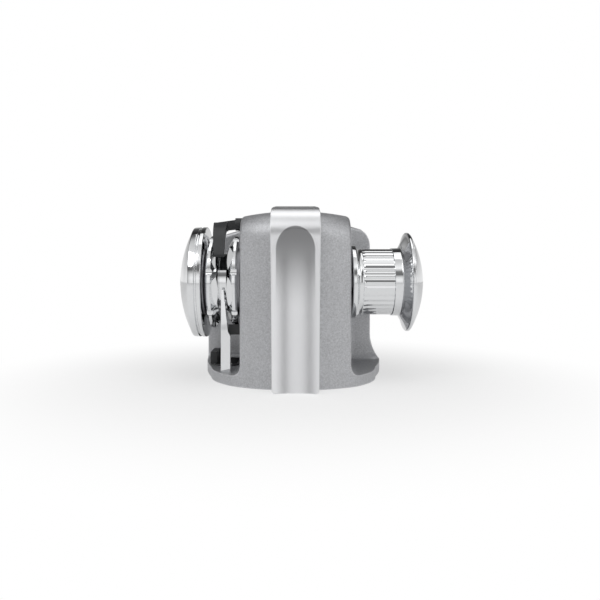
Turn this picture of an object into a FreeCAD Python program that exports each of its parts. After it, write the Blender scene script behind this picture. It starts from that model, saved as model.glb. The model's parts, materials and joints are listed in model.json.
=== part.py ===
import FreeCAD, Part
import math
import operator
import os
import Sketcher
from FreeCAD import Placement, Rotation, Vector

# Horizontal anchor windlass in millimetres.
# X runs from the chain gypsy (-X) to the warping drum (+X), -Y is the bow side, Z is up.
# The origin lies on the deck plane, straight under the main shaft, in the middle of the strap.

DRIVING_SIZES = [
    # Casting
    ("shaft_height", 126, "main shaft axis above the deck"),
    ("front_reach", 103, "shaft axis to the bow face of the casting"),
    ("rear_reach", 134, "shaft axis to the stern face of the casting"),
    ("casing_top", 219.5, "crown of the casting above the deck"),
    ("body_half_width", 68, "middle plane to a side face of the gear body"),
    ("drum_side_width", 124, "middle plane to the stern end of the base edge on the drum side"),
    ("gypsy_side_width", 130, "middle plane to the stern end of the base edge on the gypsy side"),
    ("drum_wing_width", 107.5, "middle plane to the outer face of the drum side wing"),
    ("wall", 6, "wall of the casting"),
    ("floor_height", 13, "pocket floor above the deck"),
    ("drum_pocket_depth", 60, "shaft axis back to the drum side wing"),
    ("gypsy_pocket_depth", 79, "shaft axis back to the gypsy side wing"),
    ("pocket_corner", 18, "upright corner of a pocket"),
    ("pocket_fillet", 11, "fillet round a pocket floor"),
    ("crown_round", 34, "rounding over the bow edge of the crown"),
    ("crown_arc", 420, "side view radius of the crown"),
    ("front_arc", 130, "plan radius of the bow face"),
    ("shoulder_arc", 100, "plan radius from the bow face to the sides"),
    ("shoulder_taper", 18, "how much narrower the base is beside the shaft than at the stern"),
    ("side_arc", 400, "plan radius of the sides"),
    ("bow_inside_round", 54, "rounding inside the bow edge of the crown"),
    ("rear_corner", 34, "plan radius of the stern corners"),
    ("edge_round", 5, "rounding along the edges of the gear body"),
    ("cross_arc", 335, "bow view radius of the crown"),
    ("shoulder_round", 28, "bow view rounding of the drum side wing"),
    ("gypsy_shoulder_round", 50, "bow view rounding of the gypsy side wing"),
    # Centre strap
    ("strap_top", 226, "top of the strap above the deck"),
    ("strap_foot_reach", 127, "shaft axis to the strap's foot at the bow"),
    ("strap_face_reach", 112, "shaft axis to the strap's upright bow face"),
    ("strap_stern_reach", 140, "shaft axis to the strap's stern face"),
    ("strap_upper_half", 29.8, "half of the strap's width at the top"),
    ("strap_lower_half", 27.5, "half of the strap's width at the deck"),
    ("strap_seat", 0.2, "gap between the strap and the casting"),
    ("scoop_waist", 152, "height where the scoop is deepest"),
    ("scoop_rise", 44, "waist to the top of the arch"),
    ("scoop_depth", 7, "depth of the scoop in the middle"),
    ("scoop_hollow", 60, "hollow radius across the scoop"),
    # Main shaft and its bearings
    ("shaft_radius", 12.5, "main shaft"),
    ("thread_radius", 11, "threaded gypsy end of the main shaft"),
    ("shaft_gypsy_end", 137, "middle plane to the gypsy end of the shaft"),
    ("shaft_thread_start", 117, "middle plane to the shoulder of the thread"),
    ("shaft_drum_end", 146, "middle plane to the drum end of the shaft"),
    ("fit_gap", 0.02, "radial gap of a keyed or pressed seat"),
    ("running_gap", 0.08, "radial gap of a running fit"),
    ("clear_gap", 0.4, "gap between parts that pass each other"),
    ("bearing_radius", 26, "outer radius of a main ball bearing"),
    ("bearing_width", 15, "width of a main ball bearing"),
    ("bearing_ball", 3.9, "ball radius of a main bearing"),
    ("bearing_inset", 24, "middle plane to the inner face of a main bearing"),
    ("bush_radius", 16, "outer radius of a wall bush"),
    ("bush_length", 9, "length of a wall bush"),
    ("seal_radius", 19, "outer radius of a shaft seal"),
    ("seal_width", 6.5, "width of a shaft seal"),
    # Worm gear
    ("gear_module", 2.5, "module of the worm gear"),
    ("wheel_teeth", 40, "teeth of the worm wheel"),
    ("wheel_half_width", 10, "half of the worm wheel's width"),
    ("wheel_hub_radius", 40, "seat of the bronze rim on the hub"),
    ("worm_pitch_radius", 14, "pitch radius of the worm"),
    ("worm_half_length", 24, "half of the threaded length"),
    ("gear_backlash", 0.45, "gap on each flank of the worm gear"),
    ("worm_shaft_radius", 7.5, "worm shaft"),
    ("worm_bearing_radius", 17.5, "outer radius of a worm bearing"),
    ("worm_bearing_width", 11, "width of a worm bearing"),
    ("worm_bearing_ball", 2.9, "ball radius of a worm bearing"),
    ("worm_bearing_front", 37, "shaft axis to the bow side worm bearing"),
    ("worm_bearing_rear", 42, "shaft axis to the stern side worm bearing"),
    # Gear case
    ("case_wall", 4.5, "wall of the gear case"),
    ("wheel_space", 54.5, "radius of the wheel chamber"),
    ("wheel_space_half", 13, "half width of the wheel chamber"),
    ("worm_space", 18.5, "radius of the worm chamber"),
    ("case_foot_half", 44, "half of the case foot's width"),
    ("case_foot_height", 8, "thickness of the case foot"),
    ("gasket_half", 0.25, "half of the case gasket"),
    # Motor
    ("motor_radius", 44, "outer radius of the motor"),
    ("motor_wall", 4, "wall of the motor casing"),
    ("motor_start", 64, "shaft axis to the motor's mounting face"),
    ("motor_length", 50, "length of the motor casing"),
    ("end_bell", 10, "depth of the motor end bell"),
    ("armature_radius", 34, "armature"),
    ("armature_length", 32, "armature"),
    ("magnet_depth", 4, "depth of a field magnet"),
    ("air_gap", 1, "gap between armature and magnets"),
    ("commutator_radius", 15, "commutator"),
    ("commutator_length", 9, "commutator"),
    # Gypsy and clutch
    ("gypsy_inner", 74, "middle plane to the gypsy's inner face"),
    ("gypsy_width", 39, "width of the gypsy"),
    ("gypsy_radius", 62, "flanges of the gypsy"),
    ("gypsy_lip", 8, "width of a gypsy flange at its rim"),
    ("gypsy_chamfer", 2, "chamfer at a gypsy flange's rim"),
    ("chain_wire", 8, "wire of the chain"),
    ("chain_pitch", 24, "inside length of a chain link"),
    ("chain_width", 27, "outer width of a chain link"),
    ("pocket_count", 7, "pockets of the gypsy"),
    ("pocket_floor", 50, "shaft axis to the floor of a chain pocket"),
    ("slot_half", 5.3, "half width of the middle slot"),
    ("slot_radius", 39, "shaft axis to the bottom of the middle slot"),
    ("scallop_radius", 5, "notch between two lobes of a flange"),
    ("cone_mouth", 46, "wide end of a clutch cone"),
    ("cone_root", 42, "narrow end of a clutch cone"),
    ("cone_depth", 8, "depth of a clutch cone"),
    ("cone_gap", 0.3, "gap between the faces of a clutch cone"),
    ("sleeve_radius", 17, "sleeve that carries the gypsy"),
    ("gypsy_bush_radius", 20, "outer radius of the gypsy's bush"),
    ("cap_start", 118, "middle plane to the clutch cap's rim"),
    ("cap_rim_radius", 73.5, "rim of the clutch cap"),
    ("cap_rim_width", 17.4, "width of the clutch cap's rim"),
    ("cap_dome_radius", 71, "edge of the clutch cap's dome"),
    ("cap_rise", 18.1, "rise of the clutch cap's dome"),
    ("cap_shell", 5, "wall of the clutch cap"),
    ("cap_hub_radius", 21, "hub of the clutch cap"),
    ("socket_radius", 15, "handle socket insert"),
    ("socket_square", 17.6, "square of the handle socket"),
    ("socket_depth", 12, "depth of the handle socket"),
    # Warping drum
    ("drum_start", 73.5, "middle plane to the drum's inner ring"),
    ("drum_ring_radius", 49.5, "inner ring of the drum"),
    ("drum_barrel_radius", 44, "barrel of the drum"),
    ("drum_rib_start", 88, "middle plane to the ribbed length"),
    ("drum_rib_end", 128, "middle plane to the end of the ribs"),
    ("drum_rib_count", 36, "ribs of the drum"),
    ("drum_flute", 1.7, "radius of the flutes between the ribs"),
    ("drum_flange_radius", 66, "outer flange of the drum"),
    ("drum_flange_start", 137, "middle plane to the root of the outer flange"),
    ("drum_end", 151, "middle plane to the drum's outer face"),
    ("drum_shell", 6, "wall of the drum"),
    ("drum_hub_radius", 20, "hub of the drum"),
    ("drum_cap_radius", 64.5, "edge of the drum cap"),
    ("drum_cap_rise", 17.5, "rise of the drum cap's dome"),
    ("drum_cap_shell", 4, "wall of the drum cap"),
    # Rope lever, stripper and chain pipe
    ("pipe_corner", 14, "corner radius of the chain hole"),
    ("lever_pin_height", 204, "rope lever's pin above the deck"),
    ("lever_pin_back", 8, "shaft axis back to the rope lever's pin"),
    ("lever_pin_radius", 3, "rope lever's pin"),
    ("lever_hub_radius", 8.5, "hub of the rope lever"),
    ("lever_hub_length", 13, "hub of the rope lever"),
    ("tongue_root_middle", 101, "middle plane to the middle of the tongue at the top"),
    ("tongue_tip_middle", 97, "middle plane to the middle of the tongue at the tip"),
    ("tongue_root_half", 9.5, "half width of the tongue at the top"),
    ("tongue_tip_half", 6.5, "half width of the tongue at the tip"),
    ("tongue_root_reach", 69, "shaft axis to the inner face of the tongue at the top"),
    ("tongue_tip_reach", 60, "shaft axis to the inner face of the tip"),
    ("tongue_root_depth", 12, "thickness of the tongue at the top"),
    ("tongue_tip_depth", 6, "thickness of the tongue at the tip"),
    ("tongue_tip_angle", 33, "tip of the tongue above the shaft axis, degrees"),
    ("stripper_foot_reach", 48, "shaft axis to the bow edge of the stripper"),
    ("stripper_width", 12, "width of the stripper's stem"),
    ("stripper_stem_top", 60, "height where the stem starts to taper"),
    ("stripper_tip_height", 117, "stripper's tip above the deck"),
    ("stripper_tip_reach", 46, "shaft axis to the stripper's tip"),
    ("stripper_tip_width", 3.2, "width of the stripper's tip"),
    ("pipe_half_width", 17, "half width of the chain hole"),
    ("pipe_front", 4, "shaft axis to the bow end of the chain hole"),
    ("pipe_rear", 64, "shaft axis to the stern end of the chain hole"),
    ("pipe_wall", 3, "wall of the chain pipe"),
    ("pipe_block_top", 29, "top of the chain pipe's guide block"),
    ("pipe_block_start", 16, "shaft axis back to the bow face of the guide block"),
    ("pipe_block_width", 6.5, "guide block's reach beyond the chain hole"),
    ("guide_width", 19, "chain guide's reach beside the gear body"),
    ("guide_front", 34, "shaft axis to the bow face of the chain guide"),
    ("guide_rear", 12, "shaft axis to the stern end of the chain guide"),
    ("guide_depth", 3.5, "thickness of the chain guide under the gypsy"),
    # Base
    ("bolt_spacing_x", 156, "mounting bolts, across"),
    ("bolt_spacing_y", 177, "mounting bolts, along"),
    ("bolt_front", 58, "shaft axis to the bow side mounting bolts"),
    ("bolt_radius", 4.25, "tapping radius of a mounting bolt hole"),
    ("bolt_depth", 11, "depth of a mounting bolt hole"),
    ("boss_radius", 12, "boss of a stern side mounting bolt"),
    ("plate_thickness", 5, "bottom plate"),
    ("plate_half_width", 61, "half of the bottom plate's width"),
    ("plate_front", 82, "shaft axis to the bow edge of the bottom plate"),
    ("plate_rear", 118, "shaft axis to the stern edge of the bottom plate"),
    ("seal_cord", 1.2, "half of the base seal's width"),
    ("seal_inset", 2, "casting's edge to the base seal"),
]

doc = FreeCAD.newDocument("AnchorWindlass")
sheet = doc.addObject("Spreadsheet::Sheet", "Sizes")

OPERATIONS = {
    "+": operator.add,
    "-": operator.sub,
    "*": operator.mul,
    "/": operator.truediv,
}


class Size:
    """A number together with the sheet formula that it comes from."""

    def __init__(self, number, formula):
        self.number = float(number)
        self.formula = str(formula)

    def __add__(self, other):
        return combined(self, "+", other)

    def __radd__(self, other):
        return combined(other, "+", self)

    def __sub__(self, other):
        return combined(self, "-", other)

    def __rsub__(self, other):
        return combined(other, "-", self)

    def __mul__(self, other):
        return combined(self, "*", other)

    def __rmul__(self, other):
        return combined(other, "*", self)

    def __truediv__(self, other):
        return combined(self, "/", other)

    def __neg__(self):
        return combined(0, "-", self)

    def __float__(self):
        return self.number


def as_size(value):
    if isinstance(value, Size):
        return value
    return Size(value, repr(float(value)))


def combined(left, sign, right):
    left = as_size(left)
    right = as_size(right)
    number = OPERATIONS[sign](left.number, right.number)
    return Size(number, f"({left.formula} {sign} {right.formula})")


def root(value):
    value = as_size(value)
    return Size(math.sqrt(value.number), f"sqrt({value.formula})")


class SizeBook:
    """The sheet's cells, each read by its alias."""

    def __init__(self):
        for row, (alias, value, meaning) in enumerate(DRIVING_SIZES, start=1):
            sheet.set(f"A{row}", meaning)
            sheet.set(f"B{row}", str(value))
            sheet.setAlias(f"B{row}", alias)
            setattr(self, alias, Size(value, f"Sizes.{alias}"))


size = SizeBook()
doc.recompute()
NODES = []

FACING = {
    "X": Rotation(),
    "-X": Rotation(Vector(0, 0, 1), 180),
    "Y": Rotation(Vector(0, 0, 1), 90),
    "Z": Rotation(Vector(0, 1, 0), -90),
}


def node(label, thing):
    """Names a finished sub-part and puts it on the list that is written out."""
    thing.Label = label
    NODES.append(thing)
    return thing


def bind(thing, name, value):
    thing.setExpression(name, as_size(value).formula)


def place(thing, spot, rotation=None):
    numbers = [float(value) for value in spot]
    thing.Placement = Placement(Vector(*numbers), rotation or Rotation())
    for letter, value in zip("xyz", spot):
        if isinstance(value, Size):
            bind(thing, f"Placement.Base.{letter}", value)
    return thing


class Bend:
    """Marks the edge that starts at a point as an arc that turns left or right."""

    def __init__(self, radius, turns_left=True):
        self.radius = as_size(radius)
        self.turns_left = turns_left


def arc_between(start, end, bend):
    radius = bend.radius.number
    chord = end - start
    height = math.sqrt(max(radius * radius - chord.Length * chord.Length / 4, 0))
    side = Vector(-chord.y, chord.x, 0).normalize()
    if not bend.turns_left:
        side = -side
    centre = (start + end) * 0.5 + side * height
    first, last = (start, end) if bend.turns_left else (end, start)
    first_angle = math.atan2(first.y - centre.y, first.x - centre.x)
    last_angle = math.atan2(last.y - centre.y, last.x - centre.x)
    circle = Part.Circle(centre, Vector(0, 0, 1), radius)
    return Part.ArcOfCircle(circle, first_angle, last_angle)


def closed_sketch(body, plane, outline):
    """Draws a closed outline whose points and radii are all bound to the sheet."""
    base = [item for item in body.Origin.OriginFeatures if item.Role == plane][0]
    sketch = body.newObject("Sketcher::SketchObject", body.Name + "Sketch")
    sketch.AttachmentSupport = [(base, "")]
    sketch.MapMode = "FlatFace"
    corners = [(as_size(entry[0]), as_size(entry[1])) for entry in outline]
    bends = [entry[2] if len(entry) > 2 else None for entry in outline]
    count = len(corners)
    points = [Vector(across.number, up.number, 0) for across, up in corners]
    begins = []
    ends = []
    for index in range(count):
        start = points[index]
        end = points[(index + 1) % count]
        bend = bends[index]
        if bend is None:
            sketch.addGeometry(Part.LineSegment(start, end), False)
            begins.append(1)
            ends.append(2)
        else:
            sketch.addGeometry(arc_between(start, end, bend), False)
            begins.append(1 if bend.turns_left else 2)
            ends.append(2 if bend.turns_left else 1)
    for index in range(count):
        following = (index + 1) % count
        sketch.addConstraint(
            Sketcher.Constraint("Coincident", index, ends[index], following, begins[following])
        )
    for index, (across, up) in enumerate(corners):
        for kind, letter, value in (("DistanceX", "across", across), ("DistanceY", "up", up)):
            number = sketch.addConstraint(
                Sketcher.Constraint(kind, -1, 1, index, begins[index], value.number)
            )
            sketch.renameConstraint(number, f"{letter}{index}")
            sketch.setExpression(f"Constraints.{letter}{index}", value.formula)
        if bends[index] is not None:
            radius = bends[index].radius
            number = sketch.addConstraint(Sketcher.Constraint("Radius", index, radius.number))
            sketch.renameConstraint(number, f"radius{index}")
            sketch.setExpression(f"Constraints.radius{index}", radius.formula)
    return sketch


def turned(name, outline, facing="X", spot=(0, 0, 0)):
    """A body turned on a lathe: the outline gives distance along the axis and radius."""
    body = doc.addObject("PartDesign::Body", name)
    sketch = closed_sketch(body, "XZ_Plane", outline)
    turn = body.newObject("PartDesign::Revolution", name + "Turn")
    turn.Profile = sketch
    turn.ReferenceAxis = (sketch, ["H_Axis"])
    turn.Angle = 360
    body.Tip = turn
    return place(body, spot, FACING[facing])


def prism(name, plane, outline, length, spot=(0, 0, 0)):
    """A body padded from an outline towards +X, +Y or +Z."""
    body = doc.addObject("PartDesign::Body", name)
    sketch = closed_sketch(body, plane, outline)
    pad = body.newObject("PartDesign::Pad", name + "Pad")
    pad.Profile = sketch
    pad.Length = float(length)
    bind(pad, "Length", length)
    pad.Reversed = plane == "XZ_Plane"
    body.Tip = pad
    return place(body, spot)


def rounded(body, radius, chosen):
    """Rounds the edges of a body's last feature that the test picks."""
    doc.recompute()
    base = body.Tip
    names = [
        f"Edge{number}"
        for number, edge in enumerate(base.Shape.Edges, start=1)
        if chosen(edge)
    ]
    fillet = body.newObject("PartDesign::Fillet", body.Name + "Fillet")
    fillet.Base = (base, names)
    fillet.Radius = float(radius)
    bind(fillet, "Radius", radius)
    body.Tip = fillet
    return body


def cylinder(name, radius, length, facing, spot):
    """A cylinder that starts at a spot and runs along X, -X, Y or Z."""
    thing = doc.addObject("Part::Cylinder", name)
    bind(thing, "Radius", radius)
    bind(thing, "Height", length)
    return place(thing, spot, FACING[facing].multiply(Rotation(Vector(0, 1, 0), 90)))


def box(name, low, high):
    """A block between two corners."""
    thing = doc.addObject("Part::Box", name)
    for prop, start, end in zip(("Length", "Width", "Height"), low, high):
        bind(thing, prop, as_size(end) - start)
    return place(thing, low)


def fused(name, pieces):
    thing = doc.addObject("Part::MultiFuse", name)
    thing.Shapes = pieces
    return thing


def shared(name, pieces):
    thing = doc.addObject("Part::MultiCommon", name)
    thing.Shapes = pieces
    return thing


def cut(name, base, tools):
    thing = doc.addObject("Part::Cut", name)
    thing.Base = base
    thing.Tool = tools[0] if len(tools) == 1 else fused(name + "Tools", tools)
    return thing


def group(name, shapes):
    """Separate like solids in one node."""
    thing = doc.addObject("Part::Feature", name)
    thing.Shape = Part.makeCompound(shapes)
    return thing


def screw_shape(spot, direction, head_radius, head_height, shank_radius, shank_length):
    """A cap screw whose head sits on a spot, with its shank along a direction."""
    spot = Vector(*[float(value) for value in spot])
    head = Part.makeCylinder(head_radius, head_height, spot, -direction)
    across = head_radius * 0.55
    key = Part.makeCylinder(across, head_height * 0.5, spot - direction * head_height, direction)
    shank = Part.makeCylinder(shank_radius, shank_length, spot, direction)
    return head.cut(key).fuse(shank).removeSplitter()


def tube_outline(start, end, inner, outer):
    return [(start, inner), (end, inner), (end, outer), (start, outer)]


AXIS_SPOT = (0, 0, size.shaft_height)
WORM_DROP = size.gear_module * size.wheel_teeth / 2 + size.worm_pitch_radius
WORM_HEIGHT = size.shaft_height - WORM_DROP
WORM_SPOT = (0, 0, WORM_HEIGHT)
GROOVE_MIDDLE = size.gypsy_inner + size.gypsy_width / 2
GYPSY_OUTER = size.gypsy_inner + size.gypsy_width


# Casting


def casing_plan(inset):
    """Plan of the casting: a bowed front, full shoulders, sides that widen, round stern corners."""
    right = size.drum_side_width - inset
    left = size.gypsy_side_width - inset
    front = size.front_reach - inset
    bow_half = size.body_half_width + 6 - inset * 0.5
    drop = arc_drop(size.front_arc, bow_half)
    shoulder_end = -12
    taper = size.shoulder_taper
    side_end = 60
    narrowing = 3
    corner = size.rear_corner - inset
    rear = size.rear_reach - inset
    return [
        (-bow_half, drop - front, Bend(size.front_arc)),
        (bow_half, drop - front, Bend(size.shoulder_arc)),
        (right - taper, shoulder_end, Bend(size.side_arc)),
        (right - narrowing, side_end),
        (right, rear - corner, Bend(corner)),
        (right - corner, rear),
        (corner - left, rear, Bend(corner)),
        (-left, rear - corner),
        (narrowing - left, side_end, Bend(size.side_arc)),
        (taper - left, shoulder_end, Bend(size.shoulder_arc + 4)),
    ]


def casing_front(inset):
    """Bow view of the casting: the wings' outer faces, open above the crown."""
    right = size.drum_side_width - inset
    wing = size.drum_wing_width - inset
    left = size.gypsy_side_width - inset
    low = -1
    above = 260
    wing_round = size.shoulder_round - inset
    wing_centre, wing_end = shoulder_points(wing, wing_round, inset, size.drum_pocket_depth)
    left_round = size.gypsy_shoulder_round - inset
    left_centre, left_end = shoulder_points(left, left_round, inset, size.gypsy_pocket_depth)
    return [
        (right, low),
        (right, size.floor_height - 3),
        (right - 2.5, size.floor_height, Bend(60, False)),
        (wing, 50),
        (wing, wing_centre, Bend(wing_round)),
        wing_end,
        (40, above),
        (-40, above),
        (-left_end[0], left_end[1], Bend(left_round)),
        (-left, left_centre),
        (-left, low),
    ]


def shoulder_points(side, radius, inset, depth):
    """Where a rounding leaves a wing's outer face, and where it meets the crown at the wing."""
    cross = size.cross_arc - inset - arc_drop(size.crown_arc, depth)
    centre_height = size.casing_top - size.cross_arc
    reach = cross - radius
    across = side - radius
    up = root(reach * reach - across * across)
    share = cross / reach
    return centre_height + up, (across * share, centre_height + up * share)


def casing_crown(name, inset, bow_round):
    """The crown, curved along and across, closed down to its axis under the deck."""
    front = size.front_reach - inset
    rear = size.rear_reach - inset
    cross = size.cross_arc - inset
    outline = [(-front, 0), (rear, 0)] + crown_outline(front, rear, cross, inset, bow_round)
    return turned(name, outline, "Y", (0, 0, size.casing_top - size.cross_arc))


def crown_outline(front, rear, top, inset, round_over):
    """The arc over the crown with its bow and stern roundings, from stern to bow."""
    crown = size.crown_arc - inset
    bow = front - round_over
    stern = rear - 46
    bow_height = top - arc_drop(crown, bow)
    outline = [
        (rear, top - 62, Bend(54 - inset)),
        (stern, top - arc_drop(crown, stern), Bend(crown)),
    ]
    if float(round_over) == 0:
        return outline + [(-front, bow_height)]
    return outline + [(-bow, bow_height, Bend(round_over)), (-front, bow_height - round_over)]


def arc_drop(radius, reach):
    """How far an arc falls from its crest at a reach beside it."""
    return radius - root(radius * radius - reach * reach)


def pocket_block(name, side, back, grow):
    """The space beside the gear body, open to the bow, the top and the outer side."""
    inner = size.body_half_width - grow
    outer = 150
    corner = size.pocket_corner + grow
    front = -160
    if side > 0:
        outline = [
            (inner, front),
            (outer, front),
            (outer, back + grow),
            (inner + corner, back + grow, Bend(corner)),
            (inner, back + grow - corner),
        ]
    else:
        outline = [
            (-outer, front),
            (-inner, front),
            (-inner, back + grow - corner, Bend(corner)),
            (-inner - corner, back + grow),
            (-outer, back + grow),
        ]
    floor = size.floor_height
    return prism(name, "XY_Plane", outline, 260, (0, 0, floor))


def casing_form(name, inset, bow_round):
    """The casting's outer form, drawn in by an inset for its inner form."""
    plan = prism(name + "Plan", "XY_Plane", casing_plan(inset), 240)
    front = prism(name + "Front", "XZ_Plane", casing_front(inset), 400, (0, -200, 0))
    return shared(name, [plan, front, casing_crown(name + "Crown", inset, bow_round)])


def floor_edge(back):
    """Picks the floor edges along the gear body and the wing."""
    limit = float(back)

    def chosen(edge):
        box_of = edge.BoundBox
        if box_of.ZMax > 0.001:
            return False
        near_body = abs(box_of.Center.x) < float(size.body_half_width) + 20
        near_wing = box_of.Center.y > limit - 25
        return (near_body or near_wing) and box_of.YMin > -170 and box_of.YMax > -100

    return chosen


def pocket_cutter(name, side, back):
    block = pocket_block(name, side, back, 0)
    return rounded(block, size.pocket_fillet, floor_edge(back))


def softened(name, base, radius, chosen):
    """A body that takes over a shape and rounds the edges that the test picks."""
    body = doc.addObject("PartDesign::Body", name)
    body.BaseFeature = base
    return rounded(body, radius, chosen)


def bow_crown_edge(edge):
    """Picks the edge between the crown and the bow face."""
    spread = edge.BoundBox
    return spread.YMax < -70 and spread.ZMin > 180 and spread.XLength > 30


def body_side_edge(edge):
    """Picks the edges round the two side faces of the gear body, above the pockets' fillets."""
    spread = edge.BoundBox
    half = float(size.body_half_width)
    off_low = abs(abs(spread.XMin) - half)
    off_high = abs(abs(spread.XMax) - half)
    in_side = max(off_low, off_high) < 0.01 and spread.XLength < 1
    at_bow = spread.ZLength > 100 and spread.YMax < -70
    at_crown = spread.ZMin > 100
    return in_side and (at_bow or at_crown)


def casing_outside(form):
    """The casting's outer form with its two pockets, rounded over the crown and the sides."""
    step = size.floor_height + size.pocket_fillet
    far = 300
    above = box("AboveFillet", (-far, -far, step), (far, far, far))
    below = box("BelowFillet", (-far, -far, -far), (far, far, step))
    spaces = [
        pocket_block("DrumSpace", 1, size.drum_pocket_depth, 0),
        pocket_block("GypsySpace", -1, size.gypsy_pocket_depth, 0),
    ]
    upper = cut("CasingUpper", shared("UpperBlank", [form, above]), spaces)
    body = softened("CasingBody", upper, size.crown_round, bow_crown_edge)
    rounded(body, size.edge_round, body_side_edge)
    cutters = [
        pocket_cutter("DrumPocket", 1, size.drum_pocket_depth),
        pocket_cutter("GypsyPocket", -1, size.gypsy_pocket_depth),
    ]
    lower = cut("CasingLower", shared("LowerBlank", [form, below]), cutters)
    whole = fused("CasingOutside", [body, lower])
    whole.Refine = True
    return whole


def bolt_spots():
    half = size.bolt_spacing_x / 2
    rear = size.bolt_spacing_y - size.bolt_front
    return [
        (half, -size.bolt_front),
        (-half, -size.bolt_front),
        (half, rear),
        (-half, rear),
    ]


def plate_post_spots():
    across = size.plate_half_width - 10
    return [
        (across, 22 - size.plate_front),
        (-across, 22 - size.plate_front),
        (across, size.plate_rear - 10),
        (-across, size.plate_rear - 10),
    ]


def chain_hole(name, gap, low, high):
    """The round-cornered hole under the gypsy that leads to the chain locker."""
    half = size.pipe_half_width - gap
    front = size.pipe_front - gap
    rear = size.pipe_rear - gap
    corner = size.pipe_corner - gap
    middle = -GROOVE_MIDDLE
    outline = [
        (middle - half + corner, -front),
        (middle + half - corner, -front, Bend(corner)),
        (middle + half, corner - front),
        (middle + half, rear - corner, Bend(corner)),
        (middle + half - corner, rear),
        (middle - half + corner, rear, Bend(corner)),
        (middle - half, rear - corner),
        (middle - half, corner - front, Bend(corner)),
    ]
    return prism(name, "XY_Plane", outline, as_size(high) - low, (0, 0, low))


def make_housing():
    form = casing_form("CasingForm", 0, 0)
    inner = casing_form("CasingInner", size.wall, size.bow_inside_round)
    cavity = cut(
        "Cavity",
        inner,
        [
            pocket_block("DrumWall", 1, size.drum_pocket_depth, size.wall),
            pocket_block("GypsyWall", -1, size.gypsy_pocket_depth, size.wall),
            box("DrumFloor", (size.body_half_width - size.wall, -160, -5), (150, size.drum_pocket_depth, 20)),
            box("GypsyFloor", (-150, -160, -5), (size.wall - size.body_half_width, size.gypsy_pocket_depth, 20)),
        ],
    )
    shell = cut("Shell", casing_outside(form), [cavity])
    wall_inside = size.body_half_width - size.wall
    extras = []
    for facing, sign in (("X", 1), ("-X", -1)):
        boss_start = wall_inside - size.bush_length - 1
        spot = (boss_start * sign, 0, size.shaft_height)
        extras.append(cylinder("ShaftBoss", size.seal_radius + 5, size.bush_length + 2, facing, spot))
    for across, along in bolt_spots()[2:]:
        extras.append(cylinder("BoltBoss", size.boss_radius, 34, "Z", (across, along, 0)))
    post_foot = size.plate_thickness
    post_top = post_foot + 26
    stern_inside = size.rear_reach - size.wall
    for across, along in plate_post_spots():
        extras.append(cylinder("PlatePost", 6, 26, "Z", (across, along, post_foot)))
        if float(along) > 0:
            extras.append(box("PostWeb", (across - 3, along, post_foot), (across + 3, stern_inside + 1, post_top)))
        elif float(across) > 0:
            extras.append(box("PostWeb", (across, along - 3, post_foot), (wall_inside + 1, along + 3, post_top)))
        else:
            extras.append(box("PostWeb", (-wall_inside - 1, along - 3, post_foot), (across, along + 3, post_top)))
    filled = fused("HousingFilled", [shell] + shared_extras(extras, form))
    holes = [chain_hole("ChainHole", 0, -1, 30)]
    for facing, sign in (("X", 1), ("-X", -1)):
        bush_spot = ((wall_inside - size.bush_length - 2) * sign, 0, size.shaft_height)
        seal_spot = ((size.body_half_width - size.seal_width) * sign, 0, size.shaft_height)
        holes.append(cylinder("BushSeat", size.bush_radius + size.fit_gap, 14, facing, bush_spot))
        holes.append(cylinder("SealSeat", size.seal_radius + size.fit_gap, 10, facing, seal_spot))
    for across, along in bolt_spots():
        holes.append(cylinder("BoltHole", size.bolt_radius, size.bolt_depth + 1, "Z", (across, along, -1)))
    for across, along in plate_post_spots():
        holes.append(cylinder("PostHole", 2, 12, "Z", (across, along, post_foot - 1)))
    for across, along in stripper_screw_spots():
        holes.append(cylinder("StripperHole", 1.6, 8, "Z", (across, along, size.floor_height - 7)))
    holes.append(cylinder("LeverPinHole", size.lever_pin_radius, 40, "-X", (-40, size.lever_pin_back, size.lever_pin_height)))
    holes.append(seal_groove_ring("SealGroove", 0))
    node("housing", cut("Housing", filled, holes))


def shared_extras(extras, outer):
    """Bosses and webs trimmed to the casting's outer form."""
    return [shared("InsideExtras", [fused("Extras", extras), outer])]


def seal_groove_ring(name, gap):
    """A shallow ring in the underside that follows the casting's edge."""
    height = 2.5 - gap
    outer_inset = size.seal_inset + gap
    inner_inset = size.seal_inset + size.seal_cord * 2 - gap
    outside = prism(name + "Out", "XY_Plane", casing_plan(outer_inset), height, (0, 0, -0.001 if gap == 0 else 0))
    inside = prism(name + "In", "XY_Plane", casing_plan(inner_inset), 6, (0, 0, -2))
    return cut(name, outside, [inside])


def make_base():
    node("base_seal", seal_groove_ring("BaseSeal", 0.1))
    low = 0
    high = size.plate_thickness
    front = -size.plate_front
    rear = size.plate_rear
    half = size.plate_half_width
    notch = 12
    outline = [
        (notch - half, front),
        (half - notch, front),
        (half, front + notch),
        (half, rear),
        (-half, rear),
        (-half, front + notch),
    ]
    plate = prism("BottomPlateBlank", "XY_Plane", outline, high - low, (0, 0, low))
    holes = [cylinder("PlateHole", 2.3, 12, "Z", (across, along, -2)) for across, along in plate_post_spots()]
    holes += [cylinder("HeadRecess", 4.3, 4.5, "Z", (x, y, -2)) for x, y in plate_post_spots()]
    holes.append(cylinder("GlandHole", 8, 12, "Z", (40, 96, -2)))
    holes += [cylinder("FootHole", 2.5, 12, "Z", (x, y, -2)) for x, y in foot_spots()]
    node("bottom_plate", cut("BottomPlate", plate, holes))
    screws = [
        screw_shape((x, y, 2.5), Vector(0, 0, 1), 4, 2.2, 1.95, 12)
        for x, y in plate_post_spots()
    ]
    node("bottom_plate_screws", group("BottomPlateScrews", screws))
    gland = [
        (0, 4),
        (24, 4),
        (24, 7),
        (18, 9),
        (high + 0.02, 9),
        (high + 0.02, 8 - size.fit_gap),
        (0, 8 - size.fit_gap),
    ]
    node("cable_gland", turned("CableGland", gland, "Z", (40, 96, 0)))


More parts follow.
